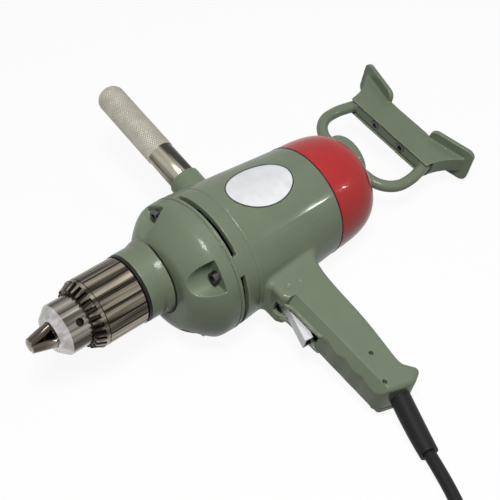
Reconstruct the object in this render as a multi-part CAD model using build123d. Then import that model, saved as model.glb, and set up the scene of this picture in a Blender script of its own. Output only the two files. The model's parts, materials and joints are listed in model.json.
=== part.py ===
"""Heavy corded drill with a pistol grip, a side bar, a D-handle and a breast plate.

The pieces are drawn in the drill's own axes: X along the motor towards the chuck with
x = 0 at the joint of gear case and motor housing, Y down the pistol grip and Z out of
the side that carries the oval plate. lay_down() then puts the whole drill on the floor
the way it rests by itself, on the flank of the housing and the end of the grip. The
finished model has +Z up, +X towards the chuck and its origin on the floor under the
middle of the drill. All sizes are in millimetres.
"""
from math import acos, atan, atan2, cos, degrees, dist, hypot, pi, radians, sin, sqrt, tan
import os

from build123d import *

# Clearances
SEAT = 0.1            # between fixed pieces that seat in each other
RUN = 0.05            # running fit of a shaft in its bearing, on the radius
FREE = 0.5            # between moving pieces that must not touch

# Motor housing
HOUSING_LENGTH = 113.5
HOUSING_FRONT_R = 58.8
HOUSING_REAR_R = 49.6
HOUSING_WALL = 3.7    # round the fan
FAN_CHAMBER = 26.0    # length of the wide front chamber
FLANGE_THICK = 6.5    # inner flange at the rear
FLANGE_BORE = 20.5
SPIGOT_LENGTH = 4.0   # register that enters the end cap
RIM_X = -18.0         # a fine groove marks off the front rim
RIM_GROOVE = 0.7
CAST_R = 5.0          # rounding of the inner corners of the casting
VENT_WIDTH = 4.5      # open gap between the lugs at the front rim
LUG_R = 6.5
LUG_ANGLES = (45, 135, 225, 315)
CASE_SCREW_CIRCLE = HOUSING_FRONT_R - 8.3

# Gear train: two stages of spur gears, as large as the case takes
CASE_WALL = 5.1       # between the first wheel's room and the outside
PINION_1, WHEEL_1 = 9, 47
PINION_2, WHEEL_2 = 9, 31
TOOTH_SHIFT = 0.45    # profile shift of the pinions, taken off the wheels
ADDENDUM = 0.8        # stub teeth, so that the small pinions keep a flat tip
BACKLASH = 0.34
GEAR_WIDTH = 7.0
GEAR_ROOM = 1.4       # free space round the teeth
MODULE_1 = (HOUSING_FRONT_R - CASE_WALL - GEAR_ROOM) / (PINION_1 / 2 + WHEEL_1 + ADDENDUM)
MODULE_2 = 1.5 * MODULE_1
CENTRES_1 = MODULE_1 * (PINION_1 + WHEEL_1) / 2
CENTRES_2 = MODULE_2 * (PINION_2 + WHEEL_2) / 2
SPINDLE_Y = -sqrt(CENTRES_2**2 - CENTRES_1**2)

# Gear case
PLATE_THICK = 9.0     # bulkhead between motor and gears
PLATE_R = HOUSING_FRONT_R - 7.3
CASE_SHOULDER_X = 20.0
CASE_FRONT_X = 36.9
CASE_EDGE_R = HOUSING_FRONT_R - 2.8
POCKET_FLOOR_X = 14.0
POCKET_R = 13.5
POCKET_CIRCLE = HOUSING_FRONT_R - 0.5
SCOOP_LEAN = 14.0     # the pockets open towards the collar
CASE_RIM_X = 3.2      # a fine groove along the edge of the case
COLLAR_R = 29.3
COLLAR_ROOT_R = 31.4
COLLAR_LENGTH = 20.6
COLLAR_GAP = 1.1      # shadow gap behind the collar
SEAL_THICK = 2.6

# Motor
SHAFT_R = 8.0
JOURNAL_R = 6.0
REAR_JOURNAL_R = 5.0
STATOR_R = HOUSING_REAR_R - 5.6
YOKE_THICK = 8.0
FIELD_THICK = 9.0     # from the yoke to the bore
AIR_GAP = 0.7
CORE_R = STATOR_R - YOKE_THICK - FIELD_THICK - AIR_GAP
CORE_FRONT_X = -36.0
CORE_REAR_X = 25.5 - HOUSING_LENGTH
POLE_HALF_ANGLE = 55.0
COIL_HALF_ANGLE = 78.0
COIL_OVERHANG = 9.0
FAN_R = HOUSING_FRONT_R - 17.3
FAN_WIDTH = 13.0
FAN_BLADES = 12
COMMUTATOR_R = 18.0
COMMUTATOR_LENGTH = 22.0
BRUSH_X = -HOUSING_LENGTH - 13.5
BRUSH_SIZE = (9.0, 7.0, 17.0)
BRUSH_GAP = 0.3
INTER_BEARING_R = 11.0
BEARING_WALL = 1.0    # left in the bulkhead between the two bearing seats
BEARING_R = CENTRES_1 - INTER_BEARING_R - BEARING_WALL
BEARING_WIDTH = 8.0
REAR_BEARING_R = 13.0
REAR_BEARING_X = BRUSH_X - 19.0

# End cap
CAP_LENGTH = 51.5
CAP_STRAIGHT = 11.0
CAP_FLAT_R = 29.0
CAP_WALL = 3.6
CAP_BOSS_R = 17.0
CAP_SCREW_CIRCLE = 24.0
CAP_SCREW_ANGLES = (30, 150, 210, 330)

# Chuck
CHUCK_X = 60.5
SLEEVE_R = 28.5
SLEEVE_END_X = 99.5
TOOTH_END_X = 106.6
TOOTH_END_R = 25.0
SLEEVE_BORE = 25.6
NOSE_R = 21.0
NOSE_BAND_X = 124.0
NOSE_END_X = 131.0
NOSE_END_R = 15.0
KEY_HOLE_X = 113.4
KEY_HOLE_R = 3.2
BIT_BORE = 8.2
FLUTES = 18
FLUTE_R = 1.4
FLUTE_DEPTH = 0.8
RIM_BAND = 3.0        # plain band between the flutes and the teeth
RIM_GROOVE_DEPTH = 0.7
RIM_TEETH = 26
TOOTH_GAP = (2.6, 1.1)    # half the gap between two teeth, at its mouth and its root
TOOTH_DEPTH = 2.4
JAW_TIP_X = 148.7
JAW_REAR_X = 100.0
JAW_ANGLE = 13.0
JAW_R = 4.2
JAW_TIP_LINE_R = 2.8  # jaw centre line at the tip, with the chuck closed
JAW_TIP_R = 6.0
JAW_FACE_R = 10.8
JAW_ROLLS = (-24, 96, 216)
CHUCK_CAPACITY = 16.0
NUT_X, NUT_END_X = 101.0, 105.0
NUT_R = 22.4

# Pistol grip
GRIP_HALF = 18.0      # half the thickness, along Z
GRIP_FRONT_X = -29.5
GRIP_BACK_X = -67.5
GRIP_WAIST_X = -61.5
GRIP_HEEL_X = -69.8
HEEL_Y = 179.5
GRIP_END_Y = 184.0    # where the cord leaves it
END_SLOPE = 0.3       # the end of the grip is cut square to the cord
GRIP_TOP_Y = HOUSING_REAR_R - 9.6
GRIP_EDGE_R = 4.5
GRIP_BEVEL = 9.0      # depth of the sloped front edges, along Z
GRIP_FLARE = 16.0     # how far the back runs out towards the barrel
GRIP_WALL = 3.6
COVER_SPLIT_Z = -9.0
COVER_TOP_Y = 62.0
ROOT_FRONT_X = -24.5
ROOT_END_Y = 71.0
FINGER_GROOVES = 3
FINGER_DEPTH = 1.1
COVER_SCREW_R = 1.8
COVER_HEAD_R = 3.4
COVER_HEAD = 1.7
COVER_SINK = 2.2

# Trigger
PIVOT = (-35.3, 66.0)
PIVOT_R = 1.8
TRIGGER_HALF = 5.2
TRIGGER_SHEET = 1.6
SLOT_HALF = 6.5
SLOT_END_Y = 110.0
SWITCH_X = (-60.0, -41.0)
SWITCH_Y = (84.0, 122.0)
SWITCH_HALF = 11.0
BUTTON_Y = (28.0, 36.0)   # below the pivot
BUTTON_REACH = 9.4       # ahead of the pivot, just short of the trigger
BUTTON_HALF = 2.6

# Side handle
SIDE_X = -43.0
SIDE_R = 12.5
SIDE_NECK_R = 11.9
SIDE_END_Y = -190.0
SIDE_KNURL_Y = -106.0
SIDE_BOSS_R = 13.8
SIDE_BOSS_Y = -74.0
SIDE_LEAN = 2.7       # the bar leans back towards the D-handle
STUD_R = 8.0
STUD_LENGTH = 18.0

# D-handle and breast plate
HANDLE_Y = SPINDLE_Y - 2.3
DH_BOSS_R = 24.0
DH_BOSS_THICK = 15.5
DH_ROD_R = 5.1
DH_HALF = 46.8        # rod centre line to the middle of the loop
DH_BEND = 24.0
DH_BOW = 5.0          # the arms bow out from the ends of the bar
DH_SCREW_CIRCLE = 17.0
HANDLE_REACH = 65.0   # from the end cap to the bar
BAR_X = -HOUSING_LENGTH - CAP_LENGTH - HANDLE_REACH
BAR_THICK = 8.0
BAR_HALF = 6.0
WEB_HALF = 7.6
WEB_FRONT_HALF = 48.2
WEB_DEPTH = 28.0      # from the bar to the back of the web
WEB_BACK_X = BAR_X - WEB_DEPTH
PAD_INNER, PAD_OUTER = 25.0, 68.5
PAD_HALF = 17.5
PAD_REACH = 1.7       # how far the pads stand out behind the web
PAD_THICK = 4.5
PAD_SWEEP = 13.5

# Name plate
PLATE_X = -60.0
PLATE_TURN = 5.0
PLATE_LONG, PLATE_WIDE = 62.0, 43.0
PLATE_SHEET = 0.6

# Cord
CORD_R = 5.0
GUARD_X = -48.2
GUARD_R = (8.2, 8.1, 7.4)
GUARD_FOOT_R = 6.6
GUARD_LENGTH = 46.0
CORD_RUNS = (26.0, 30.0, 34.0, 30.0)   # from the guard to the coil
CORD_TURNS = (-6.0, 9.0, -7.0)         # sideways, in degrees, where the runs meet
COIL_INNER_R = 44.0
COIL_PITCH = 10.8
COIL_HALF_TURNS = 7   # in the lower layer; the upper one has one less
COIL_TAIL = 74.0
TIE_SHEET = 1.2
TIE_WIDTH = 12.0
TIE_GAP = 0.3
PLUG_LENGTH = 42.0
PLUG_NECK_R = 8.5
PLUG_PIN_R = 2.4
PLUG_PIN_LENGTH = 19.0
PLUG_PIN_SPACE = 19.0


def cylinder(x0, x1, r, y=0.0, z=0.0):
    """Solid rod along X."""
    return extrude(Plane.YZ.offset(x0) * Pos(y, z) * Circle(r), x1 - x0)


def ring(x0, x1, r_out, r_in, y=0.0, z=0.0):
    """Tube along X."""
    return cylinder(x0, x1, r_out, y, z) - cylinder(x0, x1, r_in, y, z)


def turned(points, y=0.0, z=0.0):
    """Solid of revolution about the line through (y, z) along X, from (x, r) points."""
    return Pos(0, y, z) * revolve(make_face(Polyline(*points, close=True)), Axis.X)


def block(x, y, z):
    """Box from pairs of limits."""
    size = [b - a for a, b in (x, y, z)]
    middle = [(a + b) / 2 for a, b in (x, y, z)]
    return Pos(*middle) * Box(*size)


def polar(radius, angle):
    """Point in the YZ plane; the angle is turned from +Z towards +Y."""
    return radius * sin(radians(angle)), radius * cos(radians(angle))


def sector(x0, x1, radius, half_angle, middle):
    """Pie slice along X about an angle that is turned from +Z towards +Y."""
    steps = [middle + half_angle * k / 3 for k in range(-3, 4)]
    corners = [(0, 0)] + [polar(radius * 1.3, a) for a in steps]
    outline = Plane.YZ.offset(x0) * make_face(Polyline(*corners, close=True))
    return extrude(outline, x1 - x0)


def housing_radius(x):
    """Outer radius of the tapered motor housing."""
    return HOUSING_FRONT_R + (HOUSING_FRONT_R - HOUSING_REAR_R) / HOUSING_LENGTH * x


def tooth_angle(radius, teeth, module, shift):
    """Half the angle of an involute tooth at a radius."""
    pitch_r = module * teeth / 2
    base_r = pitch_r * cos(radians(20))
    thick = module * (pi / 2 + 2 * shift * tan(radians(20))) - BACKLASH / 2
    pressure = acos(min(1.0, base_r / max(radius, base_r)))
    start = radians(20)
    return thick / (2 * pitch_r) + (tan(start) - start) - (tan(pressure) - pressure)


def gear(teeth, module, shift, x0, x1, y, z, phase):
    """Spur gear with a tooth centred on phase, in degrees from +Y towards +Z."""
    pitch_r = module * teeth / 2
    tip_r = pitch_r + module * (ADDENDUM + shift)
    root_r = pitch_r - module * (1.25 - shift)
    low_r = max(root_r + 0.05 * module, pitch_r * cos(radians(20)))
    flank = [low_r + (tip_r - low_r) * k / 2 for k in range(3)]
    half = [(root_r, tooth_angle(low_r, teeth, module, shift))]
    half += [(r, tooth_angle(r, teeth, module, shift)) for r in flank]
    points = []
    for n in range(teeth):
        middle = radians(phase) + 2 * pi * n / teeth
        tooth = [(r, -a) for r, a in half] + [(r, a) for r, a in reversed(half)]
        points += [(r * cos(middle + a), r * sin(middle + a)) for r, a in tooth]
    outline = make_face(Polyline(*points, close=True))
    return extrude(Plane.YZ.offset(x0) * Pos(y, z) * outline, x1 - x0)


def screw(x_head, x_tip, head_r, head_h, shank_r, y, z, way=1):
    """Screw along X whose head stands on x_head, on the side that way points to."""
    head = cylinder(*sorted((x_head, x_head + way * head_h)), head_r, y, z)
    socket = cylinder(*sorted((x_head + way * head_h * 0.4, x_head + way * head_h)),
                      head_r * 0.5, y, z)
    return head - socket + cylinder(*sorted((x_tip, x_head)), shank_r, y, z)


# Gear positions along X
STAGE_1_X = PLATE_THICK + 3.8
STAGE_2_X = STAGE_1_X + GEAR_WIDTH + 2.6
CHAMBER_END_X = STAGE_2_X + GEAR_WIDTH + 1.6
SPINDLE_BEARING_X = CASE_FRONT_X + 8.1
INTER_R = 5.0
INTER_BUSH_R = 7.5
INTER_BUSH = 3.6
INTER_BEARING = 7.0
SPINDLE_R = 10.0
NEEDLE_R = 14.0
BALL_R = 21.0
COLLAR_END_X = CASE_FRONT_X + COLLAR_LENGTH
CAP_END_X = -HOUSING_LENGTH - CAP_LENGTH
CAP_WALL_X = CAP_END_X + 8.0


def grip_outline(inset=0.0):
    """Side view of the grip: front edge with finger grooves, heel and a flared back."""
    top = GRIP_TOP_Y
    front, back = GRIP_FRONT_X - inset, GRIP_BACK_X + inset
    waist, heel_x = GRIP_WAIST_X + inset, GRIP_HEEL_X + inset
    root = ROOT_FRONT_X - inset
    groove_end = grip_end(GRIP_FRONT_X) - 12
    step = (groove_end - SLOT_END_Y) / FINGER_GROOVES / 2
    wave = [(front - FINGER_DEPTH * (0.5 - 0.5 * cos(pi * n)), SLOT_END_Y + n * step)
            for n in range(2 * FINGER_GROOVES + 1)]
    heel, nape = (heel_x, HEEL_Y), (waist - 0.6, HEEL_Y - 10)
    flare = (back - GRIP_FLARE, top + 7)
    lines = Polyline((flare[0], top), (root, top), (root, ROOT_END_Y), (front, ROOT_END_Y + 7), wave[0])
    lines += Spline(*wave, tangents=((0, 1), (0, 1)))
    lines += Polyline(wave[-1], (front, grip_end(front, inset)), (waist + 5, grip_end(waist + 5, inset)),
                      heel, nape)
    lines += Spline(nape, (waist, HEEL_Y - 22), (back + 1, GRIP_END_Y - 66), (back - 1, top + 43),
                    (back - 5, top + 21), flare,
                    tangents=((nape[0] - heel[0], nape[1] - heel[1]), (-1, -0.6)))
    lines += Line(flare, (flare[0], top))
    return make_face(lines)


def grip_end(x, inset=0.0):
    """Height along Y of the slanted end of the grip."""
    return GRIP_END_Y - END_SLOPE * (x - GUARD_X) - inset * hypot(1, END_SLOPE)


def corner(face, x, y):
    """The corner of a flat outline at a place."""
    return [v for v in face.vertices() if hypot(v.X - x, v.Y - y) < 0.01]


def grip_solid():
    """Full outer form of the grip, both sides."""
    outline = grip_outline()
    waist = GRIP_WAIST_X + 5
    for x, y, r in ((ROOT_FRONT_X, ROOT_END_Y, 5), (GRIP_FRONT_X, grip_end(GRIP_FRONT_X), 11),
                    (waist, grip_end(waist), 8), (GRIP_HEEL_X, HEEL_Y, 4)):
        outline = fillet(corner(outline, x, y), r)
    solid = extrude(outline, GRIP_HALF, both=True)
    rim = [e for e in solid.edges()
           if abs(abs(e.center().Z) - GRIP_HALF) < 1e-6 and e.center().Y > GRIP_TOP_Y + 1]
    solid = fillet(rim, GRIP_EDGE_R)
    return solid - front_bevels()


def front_bevels(inset=0.0):
    """Two prisms that slope the front edges of the grip below the root."""
    wide = GRIP_EDGE_R + FINGER_DEPTH + 0.6
    slope = wide / GRIP_BEVEL
    front = GRIP_FRONT_X - inset * hypot(1, slope)
    prisms = []
    for way in (1, -1):
        edge = make_face(Polyline((front + 9 * slope, way * (GRIP_HALF - GRIP_BEVEL - 9)),
                                  (front - wide - 9 * slope, way * (GRIP_HALF + 9)),
                                  (front + 20, way * (GRIP_HALF + 9)), close=True))
        prisms.append(extrude(Plane.XZ.offset(inset - ROOT_END_Y - 4) * edge, -GRIP_END_Y))
    return prisms


def grip_cavity():
    """Room inside the grip for the switch, the trigger and the wiring."""
    room = extrude(grip_outline(GRIP_WALL), GRIP_HALF, both=True) - front_bevels(GRIP_WALL)
    room = room & block((-200, 0), (HOUSING_FRONT_R - 6, GRIP_END_Y),
                        (COVER_SPLIT_Z - 2, GRIP_HALF - GRIP_WALL))
    slot = block((GRIP_FRONT_X - 10, 0), (PIVOT[1], SLOT_END_Y), (-SLOT_HALF, SLOT_HALF))
    return room + slot


def cover_space(gap=0.0):
    """Part of the grip that the removable cover takes up."""
    return block((-200, 0), (COVER_TOP_Y - gap, 400), (-GRIP_HALF - 9, COVER_SPLIT_Z + gap))


def housing_bore():
    """Everything that is hollow in the barrel of the motor housing."""
    seat_end = CORE_REAR_X - 4
    bore = cylinder(-FAN_CHAMBER, 0, housing_radius(-FAN_CHAMBER) - HOUSING_WALL)
    bore += cylinder(seat_end, -FAN_CHAMBER, STATOR_R + SEAT)
    bore += cylinder(-HOUSING_LENGTH + FLANGE_THICK, seat_end, STATOR_R - 2.5)
    bore += cylinder(-HOUSING_LENGTH - SPIGOT_LENGTH, 0, FLANGE_BORE)
    return bore


def housing_lugs():
    """Four lugs in the fan chamber that take the gear case screws."""
    lugs = [cylinder(-FAN_CHAMBER + 2, 0, LUG_R, *polar(CASE_SCREW_CIRCLE, a))
            for a in LUG_ANGLES]
    shell = turned([(-FAN_CHAMBER, 0), (0, 0), (0, HOUSING_FRONT_R - 1),
                    (-FAN_CHAMBER, housing_radius(-FAN_CHAMBER) - 1)])
    return [lug & shell for lug in lugs]


def vent_gaps():
    """Air outlets: the rim stands back from the gear case between the lugs."""
    gap = ring(-VENT_WIDTH, 0, HOUSING_FRONT_R + 5, CASE_SCREW_CIRCLE - LUG_R - 4)
    for a in LUG_ANGLES:
        gap -= sector(-VENT_WIDTH, 0, HOUSING_FRONT_R + 9, 8.5, a)
    return gap


def motor_housing():
    """Tapered barrel with the pistol grip and the side handle's boss cast in one."""
    barrel = turned([(0, 0), (0, HOUSING_FRONT_R), (-HOUSING_LENGTH, HOUSING_REAR_R),
                     (-HOUSING_LENGTH, HOUSING_REAR_R - CAP_WALL),
                     (-HOUSING_LENGTH - SPIGOT_LENGTH, HOUSING_REAR_R - CAP_WALL),
                     (-HOUSING_LENGTH - SPIGOT_LENGTH, 0)])
    boss = side_line() * extrude(Plane.XZ * Circle(SIDE_BOSS_R), SIDE_BOSS_Y)
    body = soften(soften(barrel + boss) + grip_solid())
    body -= ring(RIM_X - RIM_GROOVE, RIM_X + RIM_GROOVE, HOUSING_FRONT_R,
                 housing_radius(RIM_X) - RIM_GROOVE)
    body = body - cover_space() - housing_bore() - vent_gaps()
    for lug in housing_lugs():
        body += lug
    for a in LUG_ANGLES:
        body -= cylinder(-18, 0, 2.5 + SEAT, *polar(CASE_SCREW_CIRCLE, a))
    for a in CAP_SCREW_ANGLES:
        body -= cylinder(-HOUSING_LENGTH - SPIGOT_LENGTH, -HOUSING_LENGTH + FLANGE_THICK,
                         2.5 + SEAT, *polar(CAP_SCREW_CIRCLE, a))
    body -= grip_cavity() & block((-200, 0), (HOUSING_FRONT_R - 6, 400), (-90, 90))
    body -= side_line() * extrude(Plane.XZ.offset(SIDE_BOSS_Y) * Circle(STUD_R + SEAT), STUD_LENGTH + 1)
    body -= pin_hole(*PIVOT) + pin_hole(*switch_pin_place())
    body -= cord_hole()
    for x, y in cover_screw_places():
        body -= Pos(x, y, 0) * Cylinder(COVER_SCREW_R + SEAT, 80)
    return body


def soften(body):
    """Round off the inner corner wherever something stands out of the barrel."""
    corners = []
    for edge in body.edges():
        spots = [edge @ k for k in (0.1, 0.5, 0.9)]
        off = max(abs(hypot(s.Y, s.Z) - housing_radius(s.X)) for s in spots)
        inside = all(-HOUSING_LENGTH + 1 < s.X < -1 for s in spots)
        if off < 0.05 and inside and edge.geom_type != GeomType.LINE:
            corners.append(edge)
    return body.fillet(CAST_R, corners)


def pin_hole(x, y):
    """Cross hole through the grip."""
    return Pos(x, y, 0) * Cylinder(PIVOT_R + SEAT, 80)


def switch_pin_place():
    """The second cross pin, which carries the switch."""
    return PIVOT[0] - 11.5, PIVOT[1] + 1.7


def cover_screw_places():
    """Screws of the grip cover."""
    return ((GRIP_FRONT_X - 17, GRIP_END_Y - 36), (GRIP_FRONT_X - 8, GRIP_END_Y - 12))


def cord_hole():
    """Hole in the end of the grip for the foot of the cord guard."""
    return Location(guard_frames()[0]) * Cylinder(GUARD_FOOT_R + SEAT, 30)


def grip_cover():
    """Removable shell on the plain side of the grip."""
    cover = grip_solid() & cover_space(-SEAT)
    cover -= pin_hole(*PIVOT) + pin_hole(*switch_pin_place()) + cord_hole()
    inner = extrude(grip_outline(GRIP_WALL), GRIP_HALF, both=True) - front_bevels(GRIP_WALL)
    cover -= inner & block((-200, 0), (COVER_TOP_Y + GRIP_WALL, 400),
                           (-GRIP_HALF + GRIP_WALL, 0))
    for x, y in cover_screw_places():
        cover -= Pos(x, y, 0) * Cylinder(COVER_SCREW_R + SEAT, 80)
        cover -= Pos(x, y, -GRIP_HALF) * Cylinder(COVER_HEAD_R + SEAT, 2 * COVER_SINK)
    barrel = turned([(0, 0), (0, HOUSING_FRONT_R), (-HOUSING_LENGTH, HOUSING_REAR_R),
                     (-HOUSING_LENGTH, 0)])
    return cover - barrel


def gear_case():
    """Domed gear case with a nose collar and four screw pockets between its lobes."""
    edge, front = CASE_EDGE_R, CASE_FRONT_X
    profile = Line((0, 0), (0, HOUSING_FRONT_R))
    profile += Line((0, HOUSING_FRONT_R), (POCKET_FLOOR_X - 4, HOUSING_FRONT_R - 0.3))
    profile += Spline((POCKET_FLOOR_X - 4, HOUSING_FRONT_R - 0.3), (CASE_SHOULDER_X, edge - 1.2),
                      (front - 4.5, edge - 13), (front, COLLAR_R + 3),
                      tangents=((1, -0.02), (0.15, -1)))
    profile += Line((front, COLLAR_R + 3), (front, 0))
    profile += Line((front, 0), (0, 0))
    dome = revolve(make_face(profile), Axis.X)
    dome += turned([(CHAMBER_END_X, 0), (CHAMBER_END_X, COLLAR_ROOT_R), (front, COLLAR_ROOT_R),
                    (front + COLLAR_LENGTH / 3, COLLAR_R), (COLLAR_END_X, COLLAR_R),
                    (COLLAR_END_X, 0)], SPINDLE_Y)
    for a in LUG_ANGLES:
        y, z = polar(POCKET_CIRCLE, a)
        dome -= cylinder(POCKET_FLOOR_X, COLLAR_END_X, POCKET_R, y, z) + pocket_scoop(a)
        dome -= cylinder(0, POCKET_FLOOR_X, 2.5 + SEAT, *polar(CASE_SCREW_CIRCLE, a))
    dome -= ring(front - COLLAR_GAP, front, COLLAR_ROOT_R + COLLAR_GAP, COLLAR_ROOT_R - 0.8, SPINDLE_Y)
    dome -= ring(CASE_RIM_X - RIM_GROOVE, CASE_RIM_X + RIM_GROOVE, HOUSING_FRONT_R,
                 HOUSING_FRONT_R - 2 * RIM_GROOVE)
    dome -= cylinder(0, PLATE_THICK, PLATE_R + SEAT)
    dome -= case_chamber()
    dome -= cylinder(CHAMBER_END_X, SPINDLE_BEARING_X, NEEDLE_R + SEAT, SPINDLE_Y)
    dome -= cylinder(SPINDLE_BEARING_X, COLLAR_END_X, BALL_R + SEAT, SPINDLE_Y)
    dome -= cylinder(CHAMBER_END_X, CHAMBER_END_X + INTER_BUSH + SEAT, INTER_BUSH_R + SEAT,
                     0, CENTRES_1)
    return dome


def pocket_scoop(angle):
    """Sloped room in front of a screw pocket."""
    lean = radians(SCOOP_LEAN)
    start = Plane((POCKET_FLOOR_X, 0, POCKET_CIRCLE), z_dir=(cos(lean), 0, -sin(lean)))
    bar = extrude(start * Circle(POCKET_R), 2 * CASE_FRONT_X)
    return Rot(X=-angle) * (bar & block((POCKET_FLOOR_X, CASE_FRONT_X), (-90, 90), (0, 200)))


def case_chamber():
    """Room for the gears, with a lobe round each wheel."""
    chamber = cylinder(PLATE_THICK, CHAMBER_END_X, wheel_room(MODULE_2, WHEEL_2), SPINDLE_Y)
    chamber += cylinder(PLATE_THICK, STAGE_2_X - 1.6, wheel_room(MODULE_1, WHEEL_1), 0, CENTRES_1)
    chamber += cylinder(PLATE_THICK, CHAMBER_END_X,
                        wheel_room(MODULE_2, PINION_2) + MODULE_2 * TOOTH_SHIFT, 0, CENTRES_1)
    return chamber


def wheel_room(module, teeth):
    """Radius of the space round a gear."""
    return module * (teeth / 2 + ADDENDUM) + GEAR_ROOM


def gear_plate():
    """Bulkhead that carries the motor's front bearing and the intermediate shaft."""
    plate = cylinder(0, PLATE_THICK, PLATE_R)
    plate -= cylinder(0, BEARING_WIDTH, BEARING_R + SEAT)
    plate -= cylinder(0, PLATE_THICK, JOURNAL_R + 1.2)
    plate -= cylinder(PLATE_THICK - INTER_BEARING, PLATE_THICK, INTER_BEARING_R + SEAT, 0, CENTRES_1)
    for a in LUG_ANGLES:
        plate -= cylinder(0, PLATE_THICK, 3.2, *polar(CASE_SCREW_CIRCLE, a))
    return plate


def cap_profile(inset):
    """Half section of the domed end cap, outer or inner."""
    x0, x1 = -HOUSING_LENGTH, CAP_END_X + inset
    r0, r1 = HOUSING_REAR_R - inset, CAP_FLAT_R - inset
    straight = x0 - CAP_STRAIGHT
    lines = Line((x0, 0), (x0, r0)) + Line((x0, r0), (straight, r0 - 0.4))
    lines += Spline((straight, r0 - 0.4), (x1, r1), tangents=((-1, -0.06), (-0.25, -1)))
    lines += Line((x1, r1), (x1, 0)) + Line((x1, 0), (x0, 0))
    return make_face(lines)


def end_cap():
    """Domed cap over the brushes and the rear bearing."""
    cap = revolve(cap_profile(0), Axis.X) - revolve(cap_profile(CAP_WALL), Axis.X)
    cap -= cylinder(-HOUSING_LENGTH - SPIGOT_LENGTH, -HOUSING_LENGTH,
                    HOUSING_REAR_R - CAP_WALL + SEAT)
    inside = revolve(cap_profile(CAP_WALL - 0.5), Axis.X)
    cap += cylinder(CAP_END_X + 1, REAR_BEARING_X, CAP_BOSS_R)
    cap += cylinder(CAP_END_X + 1, CAP_WALL_X, CAP_FLAT_R - 1)
    for a in CAP_SCREW_ANGLES:
        y, z = polar(CAP_SCREW_CIRCLE, a)
        cap += cylinder(CAP_END_X + 1, -HOUSING_LENGTH - SPIGOT_LENGTH, 5.5, y, z) & inside
    cap -= cylinder(REAR_BEARING_X - BEARING_WIDTH - 2, REAR_BEARING_X, REAR_BEARING_R + SEAT)
    for a in CAP_SCREW_ANGLES:
        y, z = polar(CAP_SCREW_CIRCLE, a)
        cap -= cylinder(CAP_END_X, -HOUSING_LENGTH, 2.5 + SEAT, y, z)
        cap -= cylinder(CAP_END_X, CAP_END_X + 5, 4.2 + SEAT, y, z)
    for y, z in handle_screw_places():
        cap -= cylinder(CAP_END_X, CAP_WALL_X, 2.5 + SEAT, y, z)
    return cap


def handle_screw_places():
    """Four screws that hold the D-handle's boss on the cap."""
    spots = [polar(DH_SCREW_CIRCLE, a) for a in (45, 135, 225, 315)]
    return [(HANDLE_Y + y, z) for y, z in spots]


def armature():
    """Shaft with pinion, core, windings, commutator and fan."""
    rear = REAR_BEARING_X
    shaft = turned([(rear - BEARING_WIDTH, 0), (rear - BEARING_WIDTH, REAR_JOURNAL_R),
                    (rear + 2, REAR_JOURNAL_R), (rear + 2, SHAFT_R), (-2, SHAFT_R),
                    (-2, JOURNAL_R), (STAGE_1_X - 1, JOURNAL_R), (STAGE_1_X - 1, 3.4),
                    (STAGE_1_X + GEAR_WIDTH, 3.4), (STAGE_1_X + GEAR_WIDTH, 0)])
    shaft += gear(PINION_1, MODULE_1, TOOTH_SHIFT, STAGE_1_X - 1, STAGE_1_X + GEAR_WIDTH, 0, 0, 90)
    core = ring(CORE_REAR_X, CORE_FRONT_X, CORE_R, SHAFT_R + SEAT)
    for n in range(12):
        y, z = polar(CORE_R, 30 * n)
        core -= cylinder(CORE_REAR_X, CORE_FRONT_X, 2.2, y * 0.93, z * 0.93)
    ends = []
    for x0, x1 in ((CORE_FRONT_X, CORE_FRONT_X + 8), (CORE_REAR_X, CORE_REAR_X - 9)):
        ends.append(turned([(x0, SHAFT_R + 1), (x0, CORE_R - 1.5),
                            ((x0 + x1) / 2, CORE_R - 2), (x1, CORE_R - 7), (x1, SHAFT_R + 1)]))
    c0 = BRUSH_X - COMMUTATOR_LENGTH / 2
    commutator = ring(c0, c0 + COMMUTATOR_LENGTH, COMMUTATOR_R, SHAFT_R + SEAT)
    commutator += ring(c0 + COMMUTATOR_LENGTH, c0 + COMMUTATOR_LENGTH + 3, COMMUTATOR_R + 1.8,
                       SHAFT_R + SEAT)
    return shaft, core, Compound(ends), commutator


def cooling_fan():
    """Radial fan behind the gear plate."""
    x1 = -VENT_WIDTH - 2
    x0 = x1 - FAN_WIDTH
    fan = ring(x0, x1, SHAFT_R + 5, SHAFT_R + SEAT) + ring(x1 - 2, x1, FAN_R, SHAFT_R + SEAT)
    for n in range(FAN_BLADES):
        blade = block((x0 + 3, x1 - 1), (-0.9, 0.9), (SHAFT_R + 3, FAN_R))
        fan += Rot(X=360 / FAN_BLADES * n) * blade
    return fan


def stator():
    """Laminated core with two poles, and the two field coils round them."""
    front, rear = CORE_FRONT_X, CORE_REAR_X
    bore = CORE_R + AIR_GAP
    yoke_in = STATOR_R - YOKE_THICK
    core = ring(rear, front, STATOR_R, yoke_in)
    coils = []
    for middle in (0, 180):
        pole = ring(rear, front, yoke_in + 1, bore)
        core += pole & sector(rear, front, STATOR_R, POLE_HALF_ANGLE, middle)
        x0, x1 = rear - COIL_OVERHANG, front + COIL_OVERHANG
        coil = ring(x0, x1, yoke_in - SEAT, bore + 1.5)
        coil = coil & sector(x0, x1, STATOR_R, COIL_HALF_ANGLE, middle)
        coil -= sector(rear - 1, front + 1, STATOR_R, POLE_HALF_ANGLE + 1, middle)
        coils.append(coil)
    return core, Compound(coils)


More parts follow.
